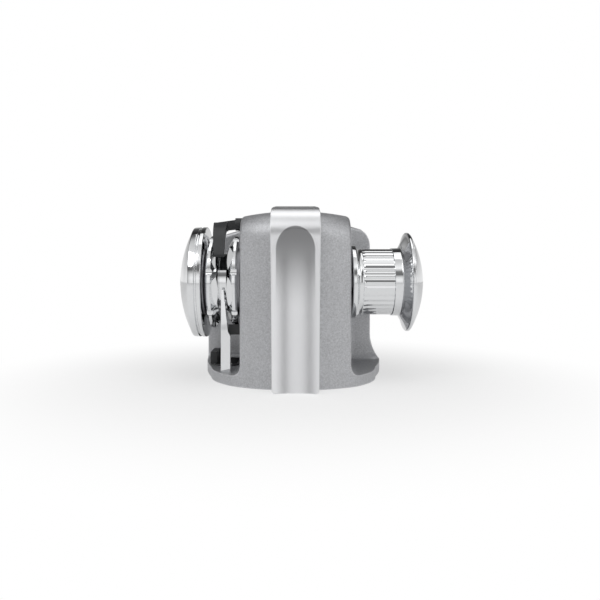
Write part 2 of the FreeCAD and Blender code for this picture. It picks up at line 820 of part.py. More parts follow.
def foot_spots():
    across = size.case_foot_half - 6
    return [(sign * across, along) for sign in (1, -1) for along in (-32, 30)]


# Centre strap


def make_strap():
    top = size.strap_top
    reach = size.strap_face_reach
    face = -reach
    waist = size.scoop_waist
    step = size.strap_foot_reach - size.strap_face_reach
    flare = (waist * waist + step * step) / (step * 2)
    rear = size.strap_stern_reach
    side_outline = [(-size.strap_foot_reach, 0), (rear, 0)]
    side_outline += crown_outline(reach, rear, top, 0, size.crown_round + 6)
    side_outline += [(face, waist, Bend(flare, False))]
    upper = size.strap_upper_half
    lower = size.strap_lower_half
    chamfer = 6.5
    foot_round = 5
    front_outline = [
        (foot_round - lower, 0),
        (lower - foot_round, 0, Bend(foot_round)),
        (lower, foot_round),
        (upper, top - 16),
        (upper - 1, top - 9),
        (upper - chamfer, top),
        (chamfer - upper, top),
        (1 - upper, top - 9),
        (-upper, top - 16),
        (-lower, foot_round, Bend(foot_round)),
    ]
    side = prism("StrapSide", "YZ_Plane", side_outline, 100, (-50, 0, 0))
    front = prism("StrapFront", "XZ_Plane", front_outline, 400, (0, -200, 0))
    hollow = size.scoop_hollow
    floor = face + size.scoop_depth
    rise = size.scoop_rise
    arch = (rise * rise + size.scoop_depth * size.scoop_depth) / (size.scoop_depth * 2)
    upper_ring = scoop_ring("ScoopArch", arch, hollow, floor)
    lower_ring = scoop_ring("ScoopRamp", flare + size.scoop_depth, hollow, floor)
    above = box("AboveWaist", (-60, -700, waist), (60, 0, 300))
    below = box("BelowWaist", (-60, -1200, -60), (60, 0, waist))
    bed_half = size.strap_upper_half + 12
    bed_width = box("StrapBedWidth", (-bed_half, -300, -20), (bed_half, 300, 300))
    bed = shared("StrapBedBlank", [casing_form("StrapBedForm", -size.strap_seat, 0), bed_width])
    tools = [
        shared("ScoopUpper", [upper_ring, above]),
        shared("ScoopLower", [lower_ring, below]),
        softened("StrapBed", bed, size.crown_round + size.strap_seat, bow_crown_edge),
    ]
    blank = shared("StrapBlank", [side, front])
    node("centre_strap", cut("CentreStrap", blank, tools))


def scoop_ring(name, sweep, hollow, floor):
    """A ring whose outside hollows the strap along a vertical arc."""
    ring = doc.addObject("Part::Torus", name)
    bind(ring, "Radius1", sweep - hollow)
    bind(ring, "Radius2", hollow)
    return place(ring, (0, floor - sweep, size.scoop_waist), Rotation(Vector(0, 1, 0), 90))


# Main shaft, worm wheel and bearings


def ball_ring(name, count, ball, pitch, facing, spot):
    """The balls of a bearing, evenly spaced round its axis."""
    centre = Vector(*[float(value) for value in spot])
    turn = FACING[facing]
    shapes = []
    for number in range(count):
        angle = 2 * math.pi * number / count
        offset = turn.multVec(Vector(0, math.cos(angle), math.sin(angle))) * float(pitch)
        shapes.append(Part.makeSphere(float(ball), centre + offset))
    return group(name, shapes)


def race(name, kind, start, width, bore, outside, ball, facing, spot):
    """One ring of a ball bearing with its groove, cut as an arc of the outline."""
    middle = as_size(start) + width / 2
    pitch = (as_size(bore) + outside) / 2
    land = ball * 0.55
    groove = as_size(ball) + 0.1
    reach = root(groove * groove - land * land)
    if kind == "inner":
        edge = pitch - land
        outline = [
            (start, bore),
            (as_size(start) + width, bore),
            (as_size(start) + width, edge),
            (middle + reach, edge, Bend(groove, False)),
            (middle - reach, edge),
            (start, edge),
        ]
    else:
        edge = pitch + land
        outline = [
            (start, outside),
            (start, edge),
            (middle - reach, edge, Bend(groove, False)),
            (middle + reach, edge),
            (as_size(start) + width, edge),
            (as_size(start) + width, outside),
        ]
    return turned(name, outline, facing, spot)


def make_bearing(prefix, start, width, bore, outside, ball, count, facing, spot):
    bore = as_size(bore) + size.fit_gap
    outside = as_size(outside) - size.fit_gap
    name = "".join(word.capitalize() for word in prefix.split("_"))
    node(prefix + "_outer_ring", race(name + "Outer", "outer", start, width, bore, outside, ball, facing, spot))
    node(prefix + "_inner_ring", race(name + "Inner", "inner", start, width, bore, outside, ball, facing, spot))
    pitch = (bore + outside) / 2
    along = FACING[facing].multVec(Vector(float(as_size(start) + width / 2), 0, 0))
    centre = Vector(*[float(value) for value in spot]) + along
    node(prefix + "_balls", ball_ring(name + "Balls", count, ball, pitch, facing, centre))


def make_shaft():
    thick = size.shaft_radius
    outline = [
        (-size.shaft_gypsy_end, 0),
        (size.shaft_drum_end, 0),
        (size.shaft_drum_end, size.thread_radius - 1),
        (size.shaft_drum_end - 1, size.thread_radius),
        (size.drum_flange_start, size.thread_radius),
        (size.drum_flange_start, thick),
        (-size.shaft_thread_start, thick),
        (-size.shaft_thread_start, size.thread_radius),
        (1 - size.shaft_gypsy_end, size.thread_radius),
        (-size.shaft_gypsy_end, size.thread_radius - 1),
    ]
    blank = turned("ShaftBlank", outline, "X", AXIS_SPOT)
    seats = [key_block(name, start, end, 0) for name, start, end in key_places()]
    node("main_shaft", cut("MainShaft", blank, seats))


def key_places():
    """Each key's name with the distances along the shaft between which it lies."""
    return [
        ("WheelKey", 3 - size.wheel_half_width, size.wheel_half_width - 3),
        ("DrumKey", size.drum_start + 12, size.drum_start + 42),
        ("ConeKey", -size.gypsy_inner - 29, -size.gypsy_inner - 4),
    ]


def key_block(name, start, end, gap):
    half = 4 - gap
    base = size.shaft_height + size.shaft_radius
    return box(name, (as_size(start) + gap, -half, base - 4 + gap), (as_size(end) - gap, half, base + 3 - gap))


def make_keys():
    keys = doc.addObject("Part::Compound", "ShaftKeys")
    keys.Links = [key_block(name + "Solid", start, end, 0.05) for name, start, end in key_places()]
    node("shaft_keys", keys)


def make_wheel():
    pitch_radius = size.gear_module * size.wheel_teeth / 2
    root_radius = pitch_radius - size.gear_module * 1.2
    half = size.wheel_half_width
    bore = size.shaft_radius + size.fit_gap
    hub_edge = size.wheel_hub_radius
    hub = turned(
        "HubBlank",
        [
            (-half - 1.5, bore),
            (half + 1.5, bore),
            (half + 1.5, 20),
            (4, 23),
            (4, hub_edge - 6),
            (half - 1, hub_edge - 4),
            (half - 1, hub_edge - size.fit_gap),
            (1 - half, hub_edge - size.fit_gap),
            (1 - half, hub_edge - 4),
            (-4, hub_edge - 6),
            (-4, 23),
            (-half - 1.5, 20),
        ],
        "X",
        AXIS_SPOT,
    )
    windows = []
    for number in range(6):
        angle = math.radians(60 * number + 30)
        spot = (-20, 28.5 * math.cos(angle), size.shaft_height + 28.5 * math.sin(angle))
        windows.append(cylinder("HubWindow", 4, 40, "X", spot))
    windows.append(key_block("HubKeyway", -size.wheel_half_width - 5, size.wheel_half_width + 5, 0))
    node("worm_wheel_hub", cut("WormWheelHub", hub, windows))
    rim = doc.addObject("Part::Feature", "WormWheelRim")
    rim.Shape = rim_shape(float(root_radius), float(pitch_radius))
    node("worm_wheel_rim", rim)


def rim_shape(root_radius, pitch_radius):
    """Bronze rim with straight-flanked teeth, slanted by the worm's lead angle."""
    module = float(size.gear_module)
    half = float(size.wheel_half_width)
    count = int(float(size.wheel_teeth))
    circular = math.pi * module
    lead = circular / (2 * math.pi * float(size.worm_pitch_radius))
    pitch_half = circular / 4 - float(size.gear_backlash) / 2
    slope = math.tan(math.radians(20))
    tip_radius = pitch_radius + module
    base_radius = root_radius - 0.4
    ring = Part.makeCylinder(root_radius, 2 * half, Vector(-half, 0, 0), Vector(1, 0, 0))
    bore = Part.makeCylinder(float(size.wheel_hub_radius), 2 * half, Vector(-half, 0, 0), Vector(1, 0, 0))
    ring = ring.cut(bore)
    base_half = pitch_half + (pitch_radius - base_radius) * slope
    tip_half = pitch_half - module * slope
    start = -half * lead
    corners = [
        Vector(-half, start - base_half, -base_radius),
        Vector(-half, start + base_half, -base_radius),
        Vector(-half, start + tip_half, -tip_radius),
        Vector(-half, start - tip_half, -tip_radius),
    ]
    face = Part.Face(Part.makePolygon(corners + corners[:1]))
    tooth = face.extrude(Vector(2 * half, 2 * half * lead, 0))
    teeth = []
    for number in range(count):
        copy = tooth.copy()
        copy.rotate(Vector(0, 0, 0), Vector(1, 0, 0), 360 * number / count)
        teeth.append(copy)
    shape = ring.fuse(teeth).removeSplitter()
    shape.translate(Vector(0, 0, float(size.shaft_height)))
    return shape


def make_shaft_bearings():
    for prefix, facing in (("drum_side_bearing", "X"), ("gypsy_side_bearing", "-X")):
        make_bearing(
            prefix,
            size.bearing_inset,
            size.bearing_width,
            size.shaft_radius,
            size.bearing_radius,
            size.bearing_ball,
            9,
            facing,
            AXIS_SPOT,
        )
    for side, facing in (("drum_side", "X"), ("gypsy_side", "-X")):
        name = side.title().replace("_", "")
        inside = size.body_half_width - size.wall
        start = inside - size.bush_length
        bush = tube_outline(start, inside - 0.5, size.shaft_radius + size.running_gap, size.bush_radius)
        node(side + "_bush", turned(name + "Bush", bush, facing, AXIS_SPOT))
        lip = size.shaft_radius + size.running_gap
        begin = size.body_half_width - size.seal_width
        end = size.body_half_width - 0.3
        seal = [
            (begin, lip + 2),
            (begin + 2, lip + 2),
            (begin + 3, lip),
            (begin + 4, lip),
            (begin + 5, lip + 1.5),
            (end, lip + 1.5),
            (end, size.seal_radius),
            (begin, size.seal_radius),
        ]
        node(side + "_seal", turned(name + "Seal", seal, facing, AXIS_SPOT))
    ring_outer = size.shaft_radius + 3
    rings = []
    for sign in (1, -1):
        start = (float(size.bearing_inset + size.bearing_width) + 0.1) * sign
        blank = Part.makeCylinder(float(ring_outer), 1.6, Vector(start, 0, 0), Vector(sign, 0, 0))
        bore = Part.makeCylinder(float(size.shaft_radius) + 0.02, 1.6, Vector(start, 0, 0), Vector(sign, 0, 0))
        gap = Part.makeBox(4, 4, 12, Vector(start - 2 + 0.8 * sign, -2, float(size.shaft_radius) - 2))
        rings.append(blank.cut(bore).cut(gap))
    clips = group("ShaftCirclips", rings)
    node("shaft_circlips", place(clips, AXIS_SPOT))


# Worm shaft and its bearings


def worm_shape():
    """Single-start worm: a trapezoid thread swept along a helix round the core."""
    module = float(size.gear_module)
    pitch = math.pi * module
    pitch_radius = float(size.worm_pitch_radius)
    root_radius = pitch_radius - module * 1.2
    half_length = float(size.worm_half_length)
    pitch_half = pitch / 4 - float(size.gear_backlash) / 2
    slope = math.tan(math.radians(20))
    tip_radius = pitch_radius + module
    foot_radius = root_radius - 1
    foot_half = pitch_half + (pitch_radius - foot_radius) * slope
    tip_half = pitch_half - module * slope
    turns = math.floor(2 * half_length / pitch) - 1
    start = -turns * pitch / 2
    helix = Part.makeHelix(pitch, turns * pitch, foot_radius)
    corners = [
        Vector(foot_radius, 0, -foot_half),
        Vector(foot_radius, 0, foot_half),
        Vector(tip_radius, 0, tip_half),
        Vector(tip_radius, 0, -tip_half),
    ]
    profile = Part.makePolygon(corners + corners[:1])
    thread = Part.Wire(helix.Edges).makePipeShell([profile], True, True)
    core = Part.makeCylinder(root_radius, 2 * half_length, Vector(0, 0, -half_length - start))
    shape = core.fuse(thread).removeSplitter()
    shape.translate(Vector(0, 0, start))
    # The helix runs about Z from the +X side: turned so that it runs about Y and a gap faces up.
    turn = Rotation(Vector(1, 0, 0), -90)
    phase = 180.0 if turns % 2 == 0 else 0.0
    spin = Rotation(Vector(0, 1, 0), -90 + phase)
    shape.Placement = Placement(Vector(0, 0, float(WORM_HEIGHT)), spin.multiply(turn)).multiply(shape.Placement)
    return shape


def make_worm():
    start = -size.worm_bearing_front - size.worm_bearing_width
    end = size.motor_start + size.motor_length + size.end_bell - 2
    thin = size.worm_shaft_radius
    collar = thin + 2.5
    spindle = turned(
        "WormSpindle",
        [
            (start, 0),
            (end, 0),
            (end, thin - 2),
            (end - size.end_bell, thin - 2),
            (end - size.end_bell, thin),
            (size.worm_bearing_rear, thin),
            (size.worm_bearing_rear, collar),
            (0.1 - size.worm_bearing_front, collar),
            (0.1 - size.worm_bearing_front, thin),
            (start, thin),
        ],
        "Y",
        WORM_SPOT,
    )
    worm = doc.addObject("Part::Feature", "WormThread")
    worm.Shape = worm_shape()
    node("worm_shaft", fused("WormShaft", [spindle, worm]))
    for prefix, facing, start in (
        ("worm_front_bearing", "Y", -size.worm_bearing_front - size.worm_bearing_width),
        ("worm_rear_bearing", "Y", size.worm_bearing_rear),
    ):
        make_bearing(
            prefix,
            start,
            size.worm_bearing_width,
            size.worm_shaft_radius,
            size.worm_bearing_radius,
            size.worm_bearing_ball,
            8,
            facing,
            WORM_SPOT,
        )
    seal_start = size.worm_bearing_rear + size.worm_bearing_width + 0.3
    seal = tube_outline(seal_start, size.motor_start - 5.5, thin + size.running_gap, size.worm_bearing_radius - 3)
    node("worm_seal", turned("WormSeal", seal, "Y", WORM_SPOT))


# Gear case


def case_outer():
    shaft = size.shaft_height
    front = -size.worm_bearing_front - size.worm_bearing_width - size.case_wall
    tunnel_end = size.motor_start - 6
    bearing_end = size.bearing_inset + size.bearing_width + 3
    drum_half = size.wheel_space_half + size.case_wall + 1.5
    tunnel = size.worm_space + size.case_wall + 2
    plate_top = size.plate_thickness
    foot = size.case_foot_half
    return fused(
        "CaseOuter",
        [
            cylinder("CaseDrum", size.wheel_space + size.case_wall, drum_half * 2, "X", (-drum_half, 0, shaft)),
            cylinder("CaseTower", size.bearing_radius + 7, bearing_end * 2, "X", (-bearing_end, 0, shaft)),
            cylinder("CaseTunnel", tunnel, tunnel_end - front, "Y", (0, front, WORM_HEIGHT)),
            cylinder("CaseFlange", size.motor_radius, 6, "Y", (0, tunnel_end, WORM_HEIGHT)),
            box("CaseWeb", (-drum_half, -40, plate_top), (drum_half, 36, WORM_HEIGHT)),
            box("CaseFoot", (-foot, -40, plate_top), (foot, 38, plate_top + size.case_foot_height)),
        ],
    )


def case_inner():
    shaft = size.shaft_height
    inner_half = size.wheel_space_half
    bore_end = size.bearing_inset + size.bearing_width + 0.1
    front_seat = -size.worm_bearing_front - size.worm_bearing_width
    rear_seat = size.worm_bearing_rear + size.worm_bearing_width
    return [
        cylinder("WheelRoom", size.wheel_space, inner_half * 2, "X", (-inner_half, 0, shaft)),
        cylinder("BearingSeats", size.bearing_radius, bore_end * 2, "X", (-bore_end, 0, shaft)),
        cylinder("ShaftWay", size.shaft_radius + 5, 200, "X", (-100, 0, shaft)),
        cylinder("WormRoom", size.worm_space, size.worm_bearing_front * 2, "Y", (0, -size.worm_bearing_front, WORM_HEIGHT)),
        cylinder("WormSeats", size.worm_bearing_radius, rear_seat - front_seat, "Y", (0, front_seat, WORM_HEIGHT)),
        cylinder("SealWay", size.worm_bearing_radius - 3, 60, "Y", (0, 20, WORM_HEIGHT)),
    ]


def make_gear_case():
    whole = cut("CaseWhole", case_outer(), case_inner())
    gap = size.gasket_half
    sides = {"gear_case_right": (gap, 200), "gear_case_left": (-200, -gap)}
    flange_screws = [(y, z) for y, z in case_screw_spots()]
    for label, (low, high) in sides.items():
        keep = box(label + "Side", (low, -200, -50), (high, 200, 400))
        half = shared(label + "Half", [whole, keep])
        ways = [cylinder("CaseScrewWay", 2.1, 80, "X", (-40, y, z)) for y, z in flange_screws]
        ways += [cylinder("CaseFootWay", 2.1, 14, "Z", (x, y, 2)) for x, y in foot_spots()]
        if label == "gear_case_right":
            ways.append(cylinder("OilWay", 4, 20, "X", (14, -30, size.shaft_height + 30)))
        node(label, cut(label + "Solid", half, ways))
    sheet_box = box("GasketSheet", (0.02 - gap, -200, -50), (gap - 0.02, 200, 400))
    gasket = shared("GasketBlank", [whole, sheet_box])
    ways = [cylinder("GasketWay", 2.1, 80, "X", (-40, y, z)) for y, z in flange_screws]
    node("gear_case_gasket", cut("GearCaseGasket", gasket, ways))
    drum_half = size.wheel_space_half + size.case_wall + 1.5
    screws = [
        screw_shape((drum_half, y, z), Vector(-1, 0, 0), 3.5, 3, 2, 30)
        for y, z in flange_screws
    ]
    node("gear_case_screws", group("GearCaseScrews", screws))
    top = size.plate_thickness + size.case_foot_height
    feet = [screw_shape((x, y, top), Vector(0, 0, -1), 3.8, 3.5, 2, 12) for x, y in foot_spots()]
    node("case_foot_screws", group("CaseFootScrews", feet))
    plug = [
        (14, 0),
        (24, 0),
        (24, 6),
        (drum_half, 6),
        (drum_half, 4 - size.fit_gap),
        (14, 4 - size.fit_gap),
    ]
    node("oil_plug", turned("OilPlug", plug, "X", (0, -30, size.shaft_height + 30)))


def case_screw_spots():
    """Screws that clamp the two halves, in the solid web under the chambers."""
    low = size.plate_thickness + 9
    return [(-34, low + 3), (30, low + 3), (-34, low + 18), (30, low + 18)]


# Motor


def make_motor():
    start = size.motor_start
    end = start + size.motor_length
    outer = size.motor_radius
    inner = outer - size.motor_wall
    shaft_way = size.worm_shaft_radius + 1.5
    flange = [
        (start, shaft_way),
        (start + 5, shaft_way),
        (start + 5, inner - 0.05),
        (start + 2, inner - 0.05),
        (start + 2, outer),
        (start, outer),
    ]
    node("motor_flange", turned("MotorFlange", flange, "Y", WORM_SPOT))
    casing = tube_outline(start + 2, end, inner, outer)
    node("motor_casing", turned("MotorCasing", casing, "Y", WORM_SPOT))
    bell_end = end + size.end_bell
    bell = [
        (end, inner - 0.05),
        (end - 3, inner - 0.05),
        (end - 3, inner - 3),
        (bell_end - 5, inner - 5),
        (bell_end - 5, size.worm_shaft_radius + 6),
        (bell_end - 8, size.worm_shaft_radius + 6),
        (bell_end - 8, size.worm_shaft_radius - 2 + size.running_gap),
        (bell_end - 1, size.worm_shaft_radius - 2 + size.running_gap),
        (bell_end - 1, size.worm_shaft_radius + 4),
        (bell_end, size.worm_shaft_radius + 6),
        (bell_end, inner - 6),
        (end + 2, outer),
        (end, outer),
    ]
    node("motor_end_bell", turned("MotorEndBell", bell, "Y", WORM_SPOT))
    core_start = start + 9
    magnet = tube_outline(core_start - 1, core_start + size.armature_length + 1, inner - size.magnet_depth, inner - 0.02)
    magnet_ring = turned("MagnetRing", magnet, "Y", WORM_SPOT)
    split = 7
    gaps = [
        box("MagnetGapUp", (-split, 0, WORM_HEIGHT - 60), (split, 200, WORM_HEIGHT + 60)),
        box("MagnetGapSide", (-60, 0, WORM_HEIGHT - split), (60, 200, WORM_HEIGHT + split)),
    ]
    node("motor_magnets", cut("MotorMagnets", magnet_ring, gaps))
    thin = size.worm_shaft_radius + size.fit_gap
    core = turned(
        "ArmatureCore",
        tube_outline(core_start, core_start + size.armature_length, thin, inner - size.magnet_depth - size.air_gap),
        "Y",
        WORM_SPOT,
    )
    slots = []
    slot_count = 12
    core_radius = inner - size.magnet_depth - size.air_gap
    for number in range(slot_count):
        angle = math.radians(360 / slot_count * number)
        reach = float(core_radius) - 1
        spot = (reach * math.cos(angle), 0, WORM_HEIGHT + reach * math.sin(angle))
        slots.append(cylinder("ArmatureSlot", 2.2, 200, "Y", spot))
    node("armature", cut("Armature", core, slots))
    ring_start = core_start + size.armature_length + 1
    ring = tube_outline(ring_start, ring_start + size.commutator_length, thin, size.commutator_radius)
    node("commutator", turned("Commutator", ring, "Y", WORM_SPOT))
    brushes = []
    brush_reach = inner - 3.9
    for sign in (1, -1):
        low = float(size.commutator_radius + size.clear_gap) * sign
        high = float(brush_reach) * sign
        brush = Part.makeBox(
            abs(high - low),
            float(size.commutator_length) - 3,
            8,
            Vector(min(low, high), float(ring_start) + 1.5, float(WORM_HEIGHT) - 4),
        )
        can = Part.makeCylinder(
            float(brush_reach),
            400,
            Vector(0, -100, float(WORM_HEIGHT)),
            Vector(0, 1, 0),
        )
        brushes.append(brush.common(can))
    node("motor_brushes", group("MotorBrushes", brushes))
    studs = []
    for sign in (1, -1):
        spot = Vector(14 * sign, float(bell_end), float(WORM_HEIGHT) + 22)
        studs.append(Part.makeCylinder(3, 3.4, spot, Vector(0, 1, 0)).fuse(
            Part.makeCylinder(4.5, 1.5, spot, Vector(0, 1, 0))
        ))
    node("motor_terminals", group("MotorTerminals", studs))


# Gypsy and clutch


def gypsy_groove():
    """The turned outline of the gypsy, from its inner face to its outer face."""
    inner = size.gypsy_inner
    outer = GYPSY_OUTER
    rim = size.gypsy_radius
    lip = size.gypsy_lip
    middle = GROOVE_MIDDLE
    slot = size.slot_half
    floor = size.pocket_floor
    seat = size.gypsy_bush_radius
    depth = size.cone_depth
    chamfer = size.gypsy_chamfer
    return [
        (inner, size.cone_mouth),
        (inner, rim - chamfer),
        (inner + chamfer, rim),
        (inner + lip - chamfer, rim),
        (inner + lip, rim - chamfer * 1.5),
        (middle - slot, floor),
        (middle - slot, size.slot_radius),
        (middle + slot, size.slot_radius),
        (middle + slot, floor),
        (outer - lip, rim - chamfer * 1.5),
        (outer - lip + chamfer, rim),
        (outer - chamfer, rim),
        (outer, rim - chamfer),
        (outer, size.cone_mouth),
        (outer - depth, size.cone_root),
        (outer - depth, seat),
        (inner + depth, seat),
        (inner + depth, size.cone_root),
    ]


def chain_pocket_tool():
    """A flat link's space: a stadium sunk along a radius."""
    long_half = float(size.chain_pitch) / 2 + float(size.chain_wire) + 1
    wide_half = float(size.chain_width) / 2 + 0.8
    straight = long_half - wide_half
    low = float(size.pocket_floor)
    high = float(size.gypsy_radius) + 6
    middle = float(GROOVE_MIDDLE)
    left_end = Vector(middle, -straight - wide_half, low)
    right_end = Vector(middle, straight + wide_half, low)
    corners = [
        Vector(middle - wide_half, -straight, low),
        Vector(middle - wide_half, straight, low),
        Vector(middle + wide_half, straight, low),
        Vector(middle + wide_half, -straight, low),
    ]
    edges = [
        Part.LineSegment(corners[0], corners[1]).toShape(),
        Part.Arc(corners[1], right_end, corners[2]).toShape(),
        Part.LineSegment(corners[2], corners[3]).toShape(),
        Part.Arc(corners[3], left_end, corners[0]).toShape(),
    ]
    return Part.Face(Part.Wire(edges)).extrude(Vector(0, 0, high - low))


def make_gypsy():
    blank = turned("GypsyBlank", gypsy_groove(), "-X", AXIS_SPOT)
    count = int(float(size.pocket_count))
    pocket = chain_pocket_tool()
    tools = []
    for number in range(count):
        copy = pocket.copy()
        copy.rotate(Vector(0, 0, 0), Vector(1, 0, 0), 360 * number / count)
        tools.append(copy)
    reach = float(size.gypsy_radius) + 2
    length = float(size.gypsy_width) + 20
    for number in range(count):
        angle = math.radians(360 * (number + 0.5) / count + 90)
        spot = Vector(float(size.gypsy_inner) - 10, reach * math.cos(angle), reach * math.sin(angle))
        tools.append(Part.makeCylinder(float(size.scallop_radius), length, spot, Vector(1, 0, 0)))
    cutter = doc.addObject("Part::Feature", "ChainPockets")
    cutter.Shape = Part.makeCompound(tools)
    place(cutter, AXIS_SPOT, FACING["-X"])
    node("gypsy", cut("Gypsy", blank, [cutter]))
    inside = size.sleeve_radius + size.running_gap
    depth = size.cone_depth
    bush = tube_outline(size.gypsy_inner + depth, GYPSY_OUTER - depth, inside, size.gypsy_bush_radius - size.fit_gap)
    node("gypsy_bush", turned("GypsyBush", bush, "-X", AXIS_SPOT))


def make_clutch():
    inner = size.gypsy_inner
    depth = size.cone_depth
    gap = size.cone_gap
    bore = size.shaft_radius + size.fit_gap
    mouth = size.cone_mouth - gap
    narrow = size.cone_root - gap
    cone_end = inner + depth - gap
    inner_cone = turned(
        "InnerConeBlank",
        [
            (inner - 3, bore),
            (GYPSY_OUTER - depth, bore),
            (GYPSY_OUTER - depth, size.sleeve_radius),
            (cone_end, size.sleeve_radius),
            (cone_end, narrow),
            (inner, mouth),
            (inner - 2, mouth),
            (inner - 2, 24),
            (inner - 3, 24),
        ],
        "-X",
        AXIS_SPOT,
    )
    keyway = key_block("ConeKeyway", -size.shaft_thread_start, 10 - inner, 0)
    node("inner_cone", cut("InnerCone", inner_cone, [keyway]))
    begin = GYPSY_OUTER - depth + gap
    slide_bore = size.shaft_radius + size.running_gap
    outer_cone = turned(
        "OuterCone",
        [
            (begin, slide_bore),
            (size.shaft_thread_start, slide_bore),
            (size.shaft_thread_start, mouth - 2),
            (size.shaft_thread_start - 2, mouth),
            (GYPSY_OUTER, mouth),
            (begin, narrow),
        ],
        "-X",
        AXIS_SPOT,
    )
    node("outer_cone", outer_cone)
    node("clutch_cap", turned("ClutchCap", cap_outline(), "-X", AXIS_SPOT))
    make_socket()


def cap_sphere(edge, rise):
    return (edge * edge + rise * rise) / (rise * 2)


def cap_outline():
    """The domed clutch cap: a grooved rim, a dome and a threaded hub."""
    start = size.cap_start
    rim = size.cap_rim_radius
    edge = size.cap_dome_radius
    dome_start = start + size.cap_rim_width
    apex = dome_start + size.cap_rise
    shell = size.cap_shell
    sphere = cap_sphere(edge, size.cap_rise)
    hub = size.cap_hub_radius
    bore = size.thread_radius + size.running_gap
    pocket = size.socket_radius + size.fit_gap
    centre = apex - sphere
    hub_top = centre + root(sphere * sphere - pocket * pocket)
    inner_sphere = sphere - shell
    inner_edge = edge - shell
    inner_rim = centre + root(inner_sphere * inner_sphere - inner_edge * inner_edge)
    inner_hub = centre + root(inner_sphere * inner_sphere - hub * hub)
    groove = 1.8
    return [
        (start, rim - 6),
        (start, rim - 1.5, Bend(1.5, False)),
        (start + 1.5, rim),
        (start + 5.5, rim),
        (start + 6.2, rim - groove),
        (start + 7.8, rim - groove),
        (start + 8.5, rim),
        (dome_start - 3, rim, Bend(3, False)),
        (dome_start, edge, Bend(sphere, False)),
        (hub_top, pocket),
        (apex - size.socket_depth - 4, pocket),
        (apex - size.socket_depth - 4, bore),
        (start - 0.5, bore),
        (start - 0.5, hub),
        (inner_hub, hub, Bend(inner_sphere)),
        (inner_rim, inner_edge),
    ]


def make_socket():
    apex = size.cap_start + size.cap_rim_width + size.cap_rise
    back = apex - size.socket_depth - 4
    blank = turned(
        "SocketBlank",
        [
            (back + 0.1, 0),
            (apex - 0.6, 0),
            (apex - 0.6, size.socket_radius - 1),
            (apex - 1.6, size.socket_radius),
            (back + 0.1, size.socket_radius),
        ],
        "-X",
        AXIS_SPOT,
    )
    half = size.socket_square / 2
    squares = []
    for turn in (0, 45):
        tool = doc.addObject("Part::Box", "SocketSquare")
        bind(tool, "Length", size.socket_depth + 5)
        bind(tool, "Width", size.socket_square)
        bind(tool, "Height", size.socket_square)
        offset = Rotation(Vector(1, 0, 0), turn).multVec(Vector(0, -float(half), -float(half)))
        spot = Vector(-float(apex) - 5, offset.y, float(size.shaft_height) + offset.z)
        tool.Placement = Placement(spot, Rotation(Vector(1, 0, 0), turn))
        squares.append(tool)
    node("clutch_socket", cut("ClutchSocket", blank, squares))


# Warping drum


def make_drum():
    start = size.drum_start
    barrel = size.drum_barrel_radius
    rib_start = size.drum_rib_start
    rib_end = size.drum_rib_end
    flange_start = size.drum_flange_start
    end = size.drum_end
    shell = size.drum_shell
    hub = size.drum_hub_radius
    blank = turned("DrumBlank", drum_outline(), "X", AXIS_SPOT)
    hollow = turned(
        "DrumHollow",
        tube_outline(start + 16, flange_start - 8, hub, barrel - shell),
        "X",
        AXIS_SPOT,
    )
    flutes = []
    count = int(float(size.drum_rib_count))
    radius = float(size.drum_flute)
    reach = float(barrel) + radius * 0.35
    length = float(rib_end - rib_start)
    for number in range(count):
        angle = 2 * math.pi * (number + 0.5) / count
        spot = Vector(float(rib_start), reach * math.cos(angle), reach * math.sin(angle))
        flutes.append(Part.makeCylinder(radius, length, spot, Vector(1, 0, 0)))
    flute_tool = doc.addObject("Part::Feature", "DrumFlutes")
    flute_tool.Shape = Part.makeCompound(flutes)
    place(flute_tool, AXIS_SPOT)
    keyway = key_block("DrumKeyway", start - 5, start + 50, 0)
    node("drum", cut("Drum", blank, [hollow, flute_tool, keyway]))
    nut_start = flange_start + 2.2
    washer = tube_outline(flange_start + 0.1, nut_start - 0.1, size.thread_radius + 0.1, 18)
    node("drum_washer", turned("DrumWasher", washer, "X", AXIS_SPOT))
    nut = hexagon(nut_start, 17, 7.5)
    node("drum_nut", nut)
    node("drum_cap", turned("DrumCap", drum_cap_outline(end), "X", AXIS_SPOT))


def drum_outline():
    """Inner ring, ribbed barrel, collar and outer flange, with a recess for the cap."""
    start = size.drum_start
    ring = size.drum_ring_radius
    barrel = size.drum_barrel_radius
    rib_start = size.drum_rib_start
    rib_end = size.drum_rib_end
    flange = size.drum_flange_radius
    flange_start = size.drum_flange_start
    end = size.drum_end
    hub = size.drum_hub_radius
    bore = size.shaft_radius + size.fit_gap
    recess = end - 2.5
    cap = size.drum_cap_radius
    return [
        (start, bore),
        (flange_start, bore),
        (flange_start, hub + 3),
        (recess - 4, cap - 12),
        (recess, cap - 4),
        (recess, cap + 0.1),
        (end, cap + 0.1),
        (end, flange - 0.8),
        (end - 0.8, flange),
        (end - 3, flange),
        (end - 4.5, flange - 1.5, Bend(30, False)),
        (flange_start, barrel + 1.5),
        (rib_end, barrel + 1.2),
        (rib_end, barrel),
        (rib_start, barrel),
        (rib_start, barrel + 0.8),
        (rib_start - 4, barrel + 0.8, Bend(8, False)),
        (start + 7, ring - 1.5),
        (start + 5.5, ring),
        (start + 1.5, ring),
        (start, ring - 1.5),
    ]


def hexagon(start, radius, height):
    """A hexagon nut on the drum end of the shaft."""
    corners = []
    for number in range(7):
        angle = math.radians(60 * number)
        corners.append(Vector(float(start), radius * math.cos(angle), radius * math.sin(angle)))
    blank = Part.Face(Part.makePolygon(corners)).extrude(Vector(height, 0, 0))
    bore = Part.makeCylinder(float(size.thread_radius) + 0.05, 40, Vector(float(start) - 5, 0, 0), Vector(1, 0, 0))
    nut = doc.addObject("Part::Feature", "DrumNut")
    nut.Shape = blank.cut(bore)
    return place(nut, AXIS_SPOT)


